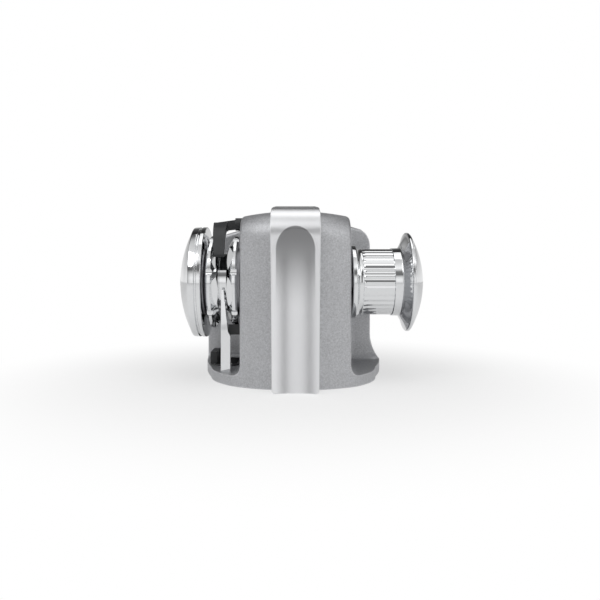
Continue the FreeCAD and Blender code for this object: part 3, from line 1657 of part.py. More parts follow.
def drum_cap_outline(end):
    """The drum's domed cap with the spigot that presses into the recess."""
    seat = end - 2.4
    edge = size.drum_cap_radius
    apex = end + 0.8 + size.drum_cap_rise
    sphere = cap_sphere(edge, size.drum_cap_rise)
    centre = apex - sphere
    inner_sphere = sphere - size.drum_cap_shell
    inner_edge = edge - 5
    inner_rim = centre + root(inner_sphere * inner_sphere - inner_edge * inner_edge)
    return [
        (seat, inner_edge),
        (seat, edge),
        (end + 0.8, edge, Bend(sphere, False)),
        (apex, 0),
        (apex - size.drum_cap_shell, 0, Bend(inner_sphere)),
        (inner_rim, inner_edge),
    ]


# Rope lever, stripper, chain pipe and guide


def lever_path_point(angle, reach):
    """A point at a reach from the shaft axis, its angle measured up from the bow."""
    turn = math.radians(angle)
    return Vector(0, -reach * math.cos(turn), float(size.shaft_height) + reach * math.sin(turn))


def tongue_section(angle, inner, depth, half, middle):
    """A rounded rectangle across the tongue at one angle round the shaft."""
    near = lever_path_point(angle, inner)
    far = lever_path_point(angle, inner + depth)
    corners = [
        Vector(middle - half, near.y, near.z),
        Vector(middle + half, near.y, near.z),
        Vector(middle + half, far.y, far.z),
        Vector(middle - half, far.y, far.z),
    ]
    return Part.makePolygon(corners + corners[:1])


def between(start, end, share):
    """A value part of the way from one size to another."""
    return float(start) + (float(end) - float(start)) * share


def make_tongue():
    """The tongue, which follows the gypsy's rim and gets slimmer towards its tip."""
    steps = 6
    top_angle = 97
    sections = []
    for step in range(steps + 1):
        share = step / steps
        angle = between(top_angle, size.tongue_tip_angle, share)
        inner = between(size.tongue_root_reach, size.tongue_tip_reach, share ** 1.6)
        depth = between(size.tongue_root_depth, size.tongue_tip_depth, share)
        half = between(size.tongue_root_half, size.tongue_tip_half, share)
        middle = -between(size.tongue_root_middle, size.tongue_tip_middle, share)
        sections.append(tongue_section(angle, inner, depth, half, middle))
    return Part.makeLoft(sections, True, False)


def make_rope_lever():
    tongue = make_tongue()
    pin_spot = Vector(-float(size.body_half_width) - 0.5, float(size.lever_pin_back), float(size.lever_pin_height))
    hub_radius = float(size.lever_hub_radius)
    hub_length = float(size.lever_hub_length)
    hub = Part.makeCylinder(hub_radius, hub_length, pin_spot, Vector(-1, 0, 0))
    arm_end = 1 - float(size.tongue_root_middle + size.tongue_root_half)
    arm = arm_solid(pin_spot, hub_radius, hub_length, arm_end)
    lever = hub.fuse([arm, tongue])
    pin_end = size.body_half_width + size.lever_hub_length - 2.5
    bore_radius = float(size.lever_pin_radius + size.running_gap)
    bore_start = Vector(0, pin_spot.y, pin_spot.z)
    bore = Part.makeCylinder(bore_radius, float(pin_end) + 0.5, bore_start, Vector(-1, 0, 0))
    well = Part.makeCylinder(hub_radius - 2, 8, pin_spot + Vector(0.1, 0, 0), Vector(-1, 0, 0))
    lever = lever.cut([bore, well]).removeSplitter()
    thing = doc.addObject("Part::Feature", "RopeLever")
    thing.Shape = lever
    node("rope_lever", thing)
    pin = [
        (size.body_half_width - size.wall + 0.2, 0),
        (pin_end, 0),
        (pin_end, size.lever_pin_radius - 0.5),
        (pin_end - 0.5, size.lever_pin_radius),
        (size.body_half_width - size.wall + 0.2, size.lever_pin_radius),
    ]
    node("lever_pin", turned("LeverPin", pin, "-X", (0, size.lever_pin_back, size.lever_pin_height)))
    make_lever_spring(pin_spot)


def arm_solid(pin_spot, hub_radius, hub_length, arm_end):
    """The bridge from the hub to the tongue, thinner towards the tongue."""
    wires = []
    near_x = pin_spot.x - hub_length * 0.35
    near = [(-0.8 * hub_radius, -6), (0.8 * hub_radius, -6), (0.6 * hub_radius, 7), (-0.6 * hub_radius, 7)]
    far = [(-15, -10), (4, -10), (3, 1), (-14, 1)]
    for across, section in ((near_x, near), (arm_end, far)):
        points = [Vector(across, pin_spot.y + along, pin_spot.z + up) for along, up in section]
        wires.append(Part.makePolygon(points + points[:1]))
    return Part.makeLoft(wires, True, True)


def make_lever_spring(pin_spot):
    """Torsion spring round the pin, in the well of the lever's hub."""
    wire_radius = 0.8
    coil_radius = float(size.lever_pin_radius) + 1.6
    pitch = 2.0
    turns = 3
    helix = Part.makeHelix(pitch, pitch * turns, coil_radius)
    profile = Part.Wire(Part.makeCircle(wire_radius, Vector(coil_radius, 0, 0), Vector(0, 1, 0)))
    coil = Part.Wire(helix.Edges).makePipeShell([profile], True, True)
    spring = doc.addObject("Part::Feature", "LeverSpring")
    spring.Shape = coil
    start = Vector(pin_spot.x - wire_radius - 0.3, pin_spot.y, pin_spot.z)
    spring.Placement = Placement(start, Rotation(Vector(0, 1, 0), -90))
    node("lever_spring", spring)


def stripper_screw_spots():
    across = 4.5 - GROOVE_MIDDLE
    return [(across, 14.5 - size.stripper_foot_reach), (across, 20.5 - size.stripper_foot_reach)]


def make_stripper():
    middle = -float(GROOVE_MIDDLE)
    foot = -float(size.stripper_foot_reach)
    floor = float(size.floor_height)
    stem_top = float(size.stripper_stem_top)
    tip_z = float(size.stripper_tip_height)
    tip_y = -float(size.stripper_tip_reach)
    thick = 7
    side = [
        Vector(0, foot, floor),
        Vector(0, foot + 24, floor),
        Vector(0, foot + 24, floor + 7),
        Vector(0, foot + thick, floor + 7),
        Vector(0, foot + thick, stem_top),
        Vector(0, tip_y + 3, tip_z),
        Vector(0, tip_y, tip_z),
        Vector(0, foot, stem_top + 6),
    ]
    side_face = Part.Face(Part.makePolygon(side + side[:1]))
    side_face.translate(Vector(-160, 0, 0))
    slab = side_face.extrude(Vector(160, 0, 0))
    width = float(size.stripper_width)
    inner_edge = middle - 1.5
    tip_half = float(size.stripper_tip_width) / 2
    front = [
        Vector(inner_edge, -200, floor),
        Vector(inner_edge + width, -200, floor),
        Vector(inner_edge + width, -200, stem_top - 2),
        Vector(inner_edge + width - 3, -200, stem_top + 4),
        Vector(middle + tip_half, -200, tip_z),
        Vector(middle - tip_half, -200, tip_z),
        Vector(inner_edge, -200, stem_top + 6),
    ]
    front_slab = Part.Face(Part.makePolygon(front + front[:1])).extrude(Vector(0, 300, 0))
    shape = slab.common(front_slab)
    spots = [(float(across), float(along)) for across, along in stripper_screw_spots()]
    for across, along in spots:
        shape = shape.cut(Part.makeCylinder(1.6, 20, Vector(across, along, floor - 2)))
    thing = doc.addObject("Part::Feature", "ChainStripper")
    thing.Shape = shape.removeSplitter()
    node("chain_stripper", thing)
    screws = [
        screw_shape((across, along, floor + 7), Vector(0, 0, -1), 2.6, 2, 1.5, 12)
        for across, along in spots
    ]
    node("stripper_screws", group("StripperScrews", screws))


def make_chain_pipe():
    """Liner of the chain hole with a guide block along its outer side."""
    outer = chain_hole("PipeOuter", 0.1, 0, size.floor_height + 2)
    inner = chain_hole("PipeInner", size.pipe_wall, -1, 40)
    middle = -GROOVE_MIDDLE
    outside = middle - size.pipe_half_width - size.pipe_block_width
    block = box(
        "PipeBlock",
        (outside, size.pipe_block_start, size.floor_height),
        (middle, size.pipe_rear - 4, size.pipe_block_top),
    )
    body = fused("PipeBody", [outer, block])
    node("chain_pipe", cut("ChainPipe", body, [inner]))


def make_chain_guide():
    """A wedge on the gear body that keeps the chain from slipping behind the gypsy."""
    wall_face = size.body_half_width + 0.02
    rim = size.gypsy_radius + 2
    low = size.shaft_height - rim - size.guide_depth
    block = box(
        "GuideBlank",
        (-wall_face - size.guide_width, -size.guide_front, low),
        (-wall_face, size.guide_rear, size.shaft_height - 30),
    )
    room = cylinder("GuideRoom", rim, 40, "-X", (1 - wall_face, 0, size.shaft_height))
    node("chain_guide", cut("ChainGuide", block, [room]))


def check_and_write():
    doc.recompute()
    faults = [thing.Label for thing in doc.Objects if {"Invalid", "Error"} & set(thing.State)]
    if faults:
        raise RuntimeError("these objects failed: " + ", ".join(faults))
    for thing in NODES:
        shape = thing.Shape
        if shape.isNull() or not shape.isValid() or not shape.Solids:
            raise RuntimeError(thing.Label + " has no valid solid")
    os.makedirs("parts", exist_ok=True)
    for thing in NODES:
        thing.Shape.exportStep(os.path.join("parts", thing.Label + ".step"))
        print(thing.Label, len(thing.Shape.Solids), round(thing.Shape.Volume))


make_housing()
make_base()
make_strap()
make_shaft()
make_keys()
make_wheel()
make_shaft_bearings()
make_worm()
make_gear_case()
make_motor()
make_gypsy()
make_clutch()
make_drum()
make_rope_lever()
make_stripper()
make_chain_pipe()
make_chain_guide()
check_and_write()
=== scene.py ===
import json
import math

import bmesh
import bpy
from mathutils import Matrix, Vector


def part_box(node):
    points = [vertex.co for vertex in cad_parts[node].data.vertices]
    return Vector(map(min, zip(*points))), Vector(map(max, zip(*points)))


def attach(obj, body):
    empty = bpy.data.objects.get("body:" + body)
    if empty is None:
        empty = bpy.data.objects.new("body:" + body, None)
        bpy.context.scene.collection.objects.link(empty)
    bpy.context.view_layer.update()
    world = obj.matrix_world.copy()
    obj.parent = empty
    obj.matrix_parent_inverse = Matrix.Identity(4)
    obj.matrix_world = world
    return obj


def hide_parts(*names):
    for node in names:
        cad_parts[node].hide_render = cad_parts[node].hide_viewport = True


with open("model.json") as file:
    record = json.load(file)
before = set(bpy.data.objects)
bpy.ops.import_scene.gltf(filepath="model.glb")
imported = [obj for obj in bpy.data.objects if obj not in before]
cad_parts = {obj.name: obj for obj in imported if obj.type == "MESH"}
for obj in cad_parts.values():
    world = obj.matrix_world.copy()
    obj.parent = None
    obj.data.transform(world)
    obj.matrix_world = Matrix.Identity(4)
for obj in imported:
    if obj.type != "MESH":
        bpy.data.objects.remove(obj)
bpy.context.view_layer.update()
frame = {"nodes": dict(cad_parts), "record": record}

bl_info = {
    "name": "Anchor windlass",
    "version": (1, 0, 0),
    "blender": (4, 5, 0),
    "location": "3D View > Sidebar > Windlass",
    "description": "Dresses a horizontal anchor windlass and its studio",
    "category": "Object",
}

SHAFT_HEIGHT = 0.126
SHAFT_CENTRE = Vector((0, 0, SHAFT_HEIGHT))

# The band's hollow in front, where painted shade darkens the band's colour: half its width, the foot of its
# arch and the arch's height
SCOOP_HALF_WIDTH = 0.0235
SCOOP_SPRING = 0.166
SCOOP_ARCH = 0.029


# Shader maths


class Wire:
    """A shader socket that Python's operators join to new maths nodes."""

    def __init__(self, graph, out):
        self.graph = graph
        self.out = out

    def maths(self, operation, *values):
        return self.graph.node("ShaderNodeMath", {"operation": operation}, dict(enumerate(values)))

    def __add__(self, other):
        return self.maths("ADD", self, other)

    def __sub__(self, other):
        return self.maths("SUBTRACT", self, other)

    def __rsub__(self, other):
        return self.maths("SUBTRACT", other, self)

    def __mul__(self, other):
        return self.maths("MULTIPLY", self, other)

    def __truediv__(self, other):
        return self.maths("DIVIDE", self, other)

    def at_least(self, level):
        return self.maths("MAXIMUM", self, level)

    def above(self, level, width):
        """0 below the level, 1 above it, with a soft step of this width."""
        inputs = {0: self, 1: level - width / 2, 2: level + width / 2}
        return self.graph.node("ShaderNodeMapRange", {"interpolation_type": "SMOOTHSTEP"}, inputs)


class Graph:
    """A node tree with short calls for the nodes used here."""

    def __init__(self, tree):
        self.tree = tree
        tree.nodes.clear()

    def node(self, kind, settings, inputs, output=0):
        """Adds a node: its settings first, then the values or links of its sockets."""
        made = self.tree.nodes.new(kind)
        for key, value in settings.items():
            if key == "stops":
                self.set_stops(made.color_ramp, value)
            else:
                setattr(made, key, value)
        for key, value in inputs.items():
            if isinstance(value, Wire):
                self.tree.links.new(value.out, made.inputs[key])
            else:
                made.inputs[key].default_value = value
        return Wire(self, made.outputs[output])

    def set_stops(self, ramp, stops):
        while len(ramp.elements) < len(stops):
            ramp.elements.new(0.5)
        for element, (spot, tone) in zip(ramp.elements, stops):
            element.position = spot
            element.color = (*tone, 1) if isinstance(tone, tuple) else (tone, tone, tone, 1)

    def mix(self, low, high, share):
        inputs = {0: share, 6: self.tone(low), 7: self.tone(high)}
        return self.node("ShaderNodeMix", {"data_type": "RGBA"}, inputs, 2)

    def tone(self, value):
        return value if isinstance(value, Wire) else (*value, 1)

    def axis(self, vector, name):
        """One part of a place or direction: X, Y or Z."""
        return self.node("ShaderNodeSeparateXYZ", {}, {0: vector}, name)

    def join(self, wire, node, socket=0):
        self.tree.links.new(wire.out, node.inputs[socket])


class Paint(Graph):
    """One procedural material."""

    def __init__(self, name):
        self.material = bpy.data.materials.new(name)
        self.material.use_nodes = True
        super().__init__(self.material.node_tree)
        self.surface = self.tree.nodes.new("ShaderNodeBsdfPrincipled")
        self.finish = self.tree.nodes.new("ShaderNodeOutputMaterial")
        self.tree.links.new(self.surface.outputs[0], self.finish.inputs[0])
        self.place = self.node("ShaderNodeTexCoord", {}, {}, "Object")

    def noise(self, scale, detail=3, roughness=0.55, stretch=(1, 1, 1)):
        """Fractal noise in metres, stretched along an axis where its factor is small."""
        spot = self.node("ShaderNodeMapping", {}, {"Vector": self.place, "Scale": stretch})
        inputs = {"Vector": spot, "Scale": scale, "Detail": detail, "Roughness": roughness}
        return self.node("ShaderNodeTexNoise", {}, inputs)

    def edges(self, radius):
        """1 on edges and corners, 0 on open faces, from the rounded normal."""
        soft = self.node("ShaderNodeBevel", {"samples": 4}, {"Radius": radius})
        flat = self.node("ShaderNodeNewGeometry", {}, {}, "Normal")
        product = {"operation": "DOT_PRODUCT"}
        dot = self.node("ShaderNodeVectorMath", product, {0: soft, 1: flat}, "Value")
        return 1 - dot

    def rounded(self, radius):
        return self.node("ShaderNodeBevel", {"samples": 6}, {"Radius": radius})

    def bump(self, height, strength, depth, normal=None):
        inputs = {"Height": height, "Strength": strength, "Distance": depth}
        if normal:
            inputs["Normal"] = normal
        return self.node("ShaderNodeBump", {}, inputs)

    def set(self, **values):
        """Sets the surface's sockets: links for what varies, numbers for what doesn't."""
        for key, value in values.items():
            socket = self.surface.inputs[key.replace("_", " ")]
            if isinstance(value, Wire):
                self.tree.links.new(value.out, socket)
            elif isinstance(value, tuple):
                socket.default_value = (*value, 1)
            else:
                socket.default_value = value
        return self.material


def cast_grey(tone):
    """Blasted and anodised casting: a speckled grain, faint clouds and painted highlights on its edges."""
    paint = Paint("cast_grey")
    grain = paint.noise(480, 5, 0.8)
    fine = paint.noise(2600, 2, 0.6)
    cloud = paint.noise(26, 4, 0.6)
    dark = tuple(part * 0.55 for part in tone)
    pale = tuple(min(part * 1.5, 1) for part in tone)
    speckle = ((grain * 0.7 + fine * 0.3 - 0.5) * 2.6 + 0.5) * 0.8 + cloud * 0.2
    colour = paint.mix(dark, pale, speckle)
    # Painted highlight: the casting's colour is mixed towards pale grey on its edges and corners.
    edge = (paint.edges(0.0026) * 8).above(0.45, 0.8)
    colour = paint.mix(colour, (0.92, 0.92, 0.94), edge * 0.75)
    rough = grain * 0.2 + cloud * 0.08 + 0.34
    normal = paint.bump(grain * 0.7 + fine * 0.3, 0.5, 0.0002, paint.rounded(0.0022))
    return paint.set(Base_Color=colour, Metallic=0.85, Roughness=rough, Normal=normal)


def satin_band(tone):
    """Satin silver band with a fine brush, painted highlights on its edges and painted shade at its arch's
    top.
    """
    paint = Paint("satin_band")
    brushed = paint.noise(900, 4, 0.65, (1, 0.12, 0.12))
    cloud = paint.noise(22, 3, 0.5)
    dark = tuple(part * 0.9 for part in tone)
    colour = paint.mix(dark, tone, brushed * 0.6 + cloud * 0.4)
    # Painted highlight: the band's colour is mixed towards near white on its edges and corners.
    edge = (paint.edges(0.0012) * 6).above(0.5, 0.9)
    colour = paint.mix(colour, (0.97, 0.97, 0.98), edge * 0.7)
    # Painted shade: inside the hollow's arch, above about 0.142 m, the band's colour is mixed towards dark
    # grey. The mask reads only X and Z, so the band's flat rear gets it too.
    across = paint.axis(paint.place, "X") / SCOOP_HALF_WIDTH
    height = paint.axis(paint.place, "Z")
    rise = (height - SCOOP_SPRING).at_least(0.0) / SCOOP_ARCH
    scoop_shade_mask = 1 - (across * across + rise * rise).above(0.96, 0.12)
    shade = scoop_shade_mask * height.above(0.142, 0.1)
    colour = paint.mix(colour, (0.2, 0.2, 0.205), shade * 0.9)
    rough = brushed * 0.1 + cloud * 0.06 + 0.24
    normal = paint.bump(brushed, 0.14, 0.00006, paint.rounded(0.0012))
    return paint.set(Base_Color=colour, Metallic=1.0, Roughness=rough, Normal=normal)


def chrome(tone):
    """Bright plating with faint waves, hairlines and a trace of haze."""
    paint = Paint("chrome")
    wave = paint.noise(70, 2, 0.5)
    haze = paint.noise(260, 4, 0.65)
    hairline = paint.noise(1800, 2, 0.5, (0.05, 1, 1)).above(0.7, 0.1)
    dark = tuple(part * 0.93 for part in tone)
    colour = paint.mix(dark, tone, haze)
    rough = haze * 0.035 + hairline * 0.05 + 0.035
    normal = paint.bump(wave + hairline * 0.02, 0.1, 0.0004, paint.rounded(0.0005))
    return paint.set(Base_Color=colour, Metallic=1.0, Roughness=rough, Normal=normal)


def moulded_black(tone):
    """Moulded polymer with a fine leathery grain and painted highlights on its edges."""
    paint = Paint("moulded_black")
    grain = paint.noise(1300, 3, 0.6)
    cloud = paint.noise(60, 3, 0.5)
    pale = tuple(part * 2.2 for part in tone)
    colour = paint.mix(tone, pale, cloud * 0.6 + grain * 0.3)
    # Painted highlight: the polymer's colour is mixed towards mid grey on its edges and corners.
    edge = (paint.edges(0.0008) * 6).above(0.5, 0.9)
    colour = paint.mix(colour, (0.16, 0.165, 0.17), edge * 0.6)
    rough = grain * 0.18 + cloud * 0.1 + 0.3
    normal = paint.bump(grain, 0.3, 0.0001, paint.rounded(0.0008))
    return paint.set(Base_Color=colour, Metallic=0.0, Roughness=rough, Normal=normal)


def machined(name, tone, rough=0.28, stain=0.25):
    """Turned or ground metal: tool lines, stains and painted highlights on its edges."""
    paint = Paint(name)
    lines = paint.noise(1600, 3, 0.6, (1, 0.1, 0.1))
    blotch = paint.noise(90, 5, 0.65)
    dark = tuple(part * (1 - stain) for part in tone)
    colour = paint.mix(dark, tone, blotch * 0.7 + lines * 0.3)
    # Painted highlight: edges and corners get a brighter copy of the metal's tone.
    edge = (paint.edges(0.0006) * 6).above(0.5, 0.9)
    colour = paint.mix(colour, tuple(min(part * 1.4, 1) for part in tone), edge * 0.6)
    finish = lines * 0.12 + blotch * 0.12 + rough
    normal = paint.bump(lines, 0.2, 0.00006, paint.rounded(0.0005))
    return paint.set(Base_Color=colour, Metallic=1.0, Roughness=finish, Normal=normal)


def coarse(name, tone, metal, rough, size):
    """Pressed, cast or moulded stock with pits and a dull bloom."""
    paint = Paint(name)
    pits = paint.noise(size, 5, 0.7)
    bloom = paint.noise(40, 4, 0.6)
    dark = tuple(part * 0.7 for part in tone)
    pale = tuple(min(part * 1.35, 1) for part in tone)
    colour = paint.mix(dark, pale, pits * 0.5 + bloom * 0.5)
    finish = pits * 0.15 + bloom * 0.1 + rough
    normal = paint.bump(pits, 0.4, 0.00015, paint.rounded(0.0006))
    return paint.set(Base_Color=colour, Metallic=metal, Roughness=finish, Normal=normal)


# Mesh helpers


class Outline:
    """A wire of points (along the shaft, away from it), in millimetres, that is spun round the shaft."""

    def __init__(self):
        self.mesh = bmesh.new()
        self.last = None

    def to(self, along, out):
        vert = self.mesh.verts.new((along / 1000, 0, out / 1000 + SHAFT_HEIGHT))
        if self.last:
            self.mesh.edges.new((self.last, vert))
        self.last = vert
        return self

    def round_to(self, along, out, radius, steps, hollow=False):
        """An arc from the last point that bulges away from the shaft, or towards it if hollow."""
        start = self.last.co.copy()
        end = Vector((along / 1000, 0, out / 1000 + SHAFT_HEIGHT))
        chord = end - start
        height = math.sqrt(max((radius / 1000) ** 2 - chord.length_squared / 4, 0))
        outwards = Vector((chord.z, 0, -chord.x)).normalized()
        if outwards.z < 0:
            outwards = -outwards
        centre = (start + end) / 2 + outwards * (height if hollow else -height)
        turn = (start - centre).angle(end - centre)
        axis = (start - centre).cross(end - centre).normalized()
        made = bmesh.ops.spin(
            self.mesh,
            geom=[self.last],
            cent=centre,
            axis=axis,
            angle=turn,
            steps=steps,
            use_duplicate=False,
        )
        self.last = made["geom_last"][0]
        return self

    def spun(self, steps):
        """The body of revolution, with its seam closed and its faces turned outwards."""
        mesh = self.mesh
        bmesh.ops.spin(
            mesh,
            geom=mesh.verts[:] + mesh.edges[:],
            cent=SHAFT_CENTRE,
            axis=(1, 0, 0),
            angle=2 * math.pi,
            steps=steps,
            use_merge=True,
            use_duplicate=False,
        )
        bmesh.ops.remove_doubles(mesh, verts=mesh.verts[:], dist=0.00001)
        bmesh.ops.recalc_face_normals(mesh, faces=mesh.faces[:])
        return mesh


CORNER_ANGLE = 32


def piece(name, mesh, body, slot, stands_for, sharp=CORNER_ANGLE):
    """Makes the object of a finished mesh, with smooth faces and sharp corners."""
    data = bpy.data.meshes.new(name)
    bmesh.ops.recalc_face_normals(mesh, faces=mesh.faces[:])
    mesh.to_mesh(data)
    mesh.free()
    data.polygons.foreach_set("use_smooth", [True] * len(data.polygons))
    data.set_sharp_from_angle(angle=math.radians(sharp))
    data.materials.append(finish_of(slot))
    made = bpy.data.objects.new(name, data)
    bpy.context.scene.collection.objects.link(made)
    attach(made, body)
    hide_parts(*stands_for)
    return made


def bevelled(made, width, segments):
    rounding = made.modifiers.new("Rounding", "BEVEL")
    rounding.width = width
    rounding.segments = segments
    rounding.limit_method = "ANGLE"
    rounding.angle_limit = math.radians(CORNER_ANGLE)
    rounding.harden_normals = True


FINISHES = {}


def finish_of(slot):
    """The material of one of the record's slots, made once."""
    looks = bpy.context.scene.windlass_looks
    makers = {
        "cast_aluminium": lambda: cast_grey(tuple(looks.casing)),
        "satin_aluminium": lambda: satin_band(tuple(looks.band)),
        "chrome": lambda: chrome(tuple(looks.plating)),
        "black_polymer": lambda: moulded_black(tuple(looks.polymer)),
        "steel": lambda: machined("ground_steel", (0.5, 0.5, 0.52)),
        "stainless": lambda: machined("stainless", (0.62, 0.62, 0.63), 0.22, 0.12),
        "bronze": lambda: machined("bronze", (0.56, 0.36, 0.14), 0.3, 0.3),
        "rubber": lambda: coarse("rubber", (0.03, 0.03, 0.031), 0.0, 0.6, 900),
        "motor_black": lambda: coarse("motor_paint", (0.035, 0.036, 0.04), 0.0, 0.34, 700),
        "gear_case": lambda: coarse("raw_casting", (0.42, 0.42, 0.43), 0.9, 0.42, 500),
        "copper": lambda: machined("copper", (0.7, 0.34, 0.2), 0.26, 0.35),
        "magnet": lambda: coarse("ferrite", (0.06, 0.06, 0.065), 0.1, 0.55, 800),
        "iron": lambda: coarse("turned_iron", (0.2, 0.2, 0.21), 0.8, 0.45, 600),
        "carbon": lambda: coarse("carbon", (0.04, 0.04, 0.04), 0.2, 0.5, 1000),
    }
    if slot not in FINISHES:
        FINISHES[slot] = makers[slot]()
    return FINISHES[slot]


# Settings


def colour_of(name, description, default):
    return bpy.props.FloatVectorProperty(
        name=name, description=description, subtype="COLOR", min=0, max=1, default=default
    )


def length_of(name, description, low, high, default):
    return bpy.props.FloatProperty(
        name=name, description=description, subtype="DISTANCE", min=low, max=high, default=default
    )


def count_of(name, description, low, high, default):
    return bpy.props.IntProperty(name=name, description=description, min=low, max=high, default=default)


class WindlassLooks(bpy.types.PropertyGroup):
    casing: colour_of("Casting", "Colour of the grey casting", (0.5, 0.505, 0.52))
    band: colour_of("Band", "Colour of the centre band", (0.88, 0.885, 0.9))
    plating: colour_of("Plating", "Colour of the chromed pieces", (0.86, 0.87, 0.88))
    polymer: colour_of("Polymer", "Colour of the black pieces", (0.018, 0.019, 0.02))


class WindlassSizes(bpy.types.PropertyGroup):
    rib_count: count_of("Ribs", "Ribs round the drum's barrel", 12, 60, 36)
    rib_depth: length_of("Rib depth", "Depth of the flutes between the ribs", 0, 0.003, 0.0008)
    turn_steps: count_of("Turning steps", "Facets round a turned piece", 48, 360, 216)


class WindlassStudio(bpy.types.PropertyGroup):
    distance: length_of("Distance", "Camera to the shaft", 0.3, 3, 0.834)
    height: length_of("Height", "Camera above the deck", 0, 1, 0.146)
    lens: bpy.props.FloatProperty(name="Lens", description="Focal length", min=20, max=100, default=37.08)


# Turned pieces

STEPS_PER_RIB = 8
FLUTE_SHAPE = 0.7


class WINDLASS_OT_clutch_cap(bpy.types.Operator):
    """Domed and chromed clutch cap outside the gypsy"""

    bl_idname = "windlass.clutch_cap"
    bl_label = "Clutch cap"

    def execute(self, context):
        low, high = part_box("clutch_cap")
        apex = -low.x * 1000
        start = -high.x * 1000
        rim = (high.z - low.z) * 500
        rim_width = 17.4
        rim_round = 1.4
        edge = rim - 2.5
        bore = 15.5
        pocket = 15.2
        groove = rim - 1.8
        outline = Outline()
        outline.to(-start, bore).to(-start, rim - rim_round)
        outline.round_to(-start - rim_round, rim, rim_round, 4)
        outline.to(-start - 5.2, rim).to(-start - 6.2, groove)
        outline.to(-start - 7.8, groove).to(-start - 8.8, rim - 0.2)
        outline.to(-start - rim_width + 1.9, rim - 0.6)
        outline.round_to(-start - rim_width, edge, 1.9, 5)
        rise = apex - start - rim_width
        sphere = (edge * edge + rise * rise) / (rise * 2)
        drop = sphere - math.sqrt(sphere * sphere - pocket * pocket)
        outline.round_to(-apex + drop, pocket, sphere, 26)
        outline.to(-apex + 12, pocket).to(-start - 3, pocket)
        mesh = outline.spun(context.scene.windlass_sizes.turn_steps)
        made = piece("clutch_cap_dome", mesh, "clutch_cap", "chrome", ["clutch_cap"])
        bevelled(made, 0.0004, 2)
        return {"FINISHED"}


class WINDLASS_OT_drum(bpy.types.Operator):
    """Chromed warping drum with a ribbed barrel and an outer flange"""

    bl_idname = "windlass.drum"
    bl_label = "Warping drum"

    def execute(self, context):
        sizes = context.scene.windlass_sizes
        low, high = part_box("drum")
        start = low.x * 1000
        end = high.x * 1000
        flange = (high.z - low.z) * 500
        bore = 12.6
        ring = 49.5
        neck = 44.8
        barrel = 44
        collar = 45.4
        rib_start = start + 14.8
        rib_end = start + 54.2
        rib_parts = 9
        outline = Outline()
        outline.to(start, bore).to(start, ring - 1.5)
        outline.round_to(start + 1.5, ring, 1.5, 4)
        outline.to(start + 5.2, ring)
        outline.round_to(start + 7, ring - 1.9, 1.9, 4)
        outline.round_to(start + 10.5, neck, 9, 6, True)
        outline.to(start + 14, neck)
        outline.to(rib_start - 0.4, barrel + 0.2)
        outline.to(rib_start, barrel)
        for part in range(1, rib_parts):
            outline.to(rib_start + (rib_end - rib_start) * part / rib_parts, barrel)
        outline.to(rib_end, barrel).to(rib_end + 0.6, collar - 0.2).to(end - 14, collar)
        outline.round_to(end - 11, 49, 4, 6, True)
        outline.round_to(end - 4.6, flange - 2.4, 60, 10, True)
        outline.round_to(end - 3, flange, 3, 5)
        outline.to(end - 1, flange)
        outline.round_to(end, flange - 1, 1, 3)
        outline.to(end, flange - 1.4).to(end - 2.5, flange - 1.4).to(end - 6, 30).to(end - 12, bore)
        mesh = outline.spun(sizes.rib_count * STEPS_PER_RIB)
        self.flute(mesh, rib_start / 1000, rib_end / 1000, barrel / 1000, sizes)
        piece("warping_drum", mesh, "shaft", "chrome", ["drum"], 40)
        return {"FINISHED"}

    def flute(self, mesh, start, end, barrel, sizes):
        """Sinks the flutes between the ribs into the barrel's rings of points."""
        slack = 1e-5
        for vert in mesh.verts:
            out = Vector((0, vert.co.y, vert.co.z - SHAFT_HEIGHT))
            on_barrel = abs(out.length - barrel) < 1e-4
            if on_barrel and start - slack < vert.co.x < end + slack:
                wave = 0.5 - 0.5 * math.cos(math.atan2(out.z, out.y) * sizes.rib_count)
                vert.co -= out.normalized() * sizes.rib_depth * wave ** FLUTE_SHAPE


class WINDLASS_OT_drum_cap(bpy.types.Operator):
    """Domed cap that closes the drum's end"""

    bl_idname = "windlass.drum_cap"
    bl_label = "Drum cap"

    def execute(self, context):
        low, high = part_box("drum_cap")
        apex = high.x * 1000
        seat = low.x * 1000
        edge = (high.z - low.z) * 500
        wall = 3.2
        start = seat + wall
        rise = apex - start
        sphere = (edge * edge + rise * rise) / (rise * 2)
        outline = Outline()
        outline.to(seat, edge - 6).to(seat, edge).to(start, edge)
        outline.round_to(apex, 0, sphere, 30)
        outline.to(apex - 3, 0)
        mesh = outline.spun(context.scene.windlass_sizes.turn_steps)
        piece("drum_end_cap", mesh, "shaft", "chrome", ["drum_cap"])
        return {"FINISHED"}


# Carried-over pieces


class WINDLASS_OT_finishes(bpy.types.Operator):
    """Gives every carried-over piece the finish of its slot"""

    bl_idname = "windlass.finishes"
    bl_label = "Finishes"

    def execute(self, context):
        for part in frame["record"]["subparts"]:
            node = frame["nodes"][part["node"]]
            material = finish_of(part["material_slot"])
            if node.material_slots:
                for slot in node.material_slots:
                    slot.material = material
            else:
                node.data.materials.append(material)
        return {"FINISHED"}


# Studio


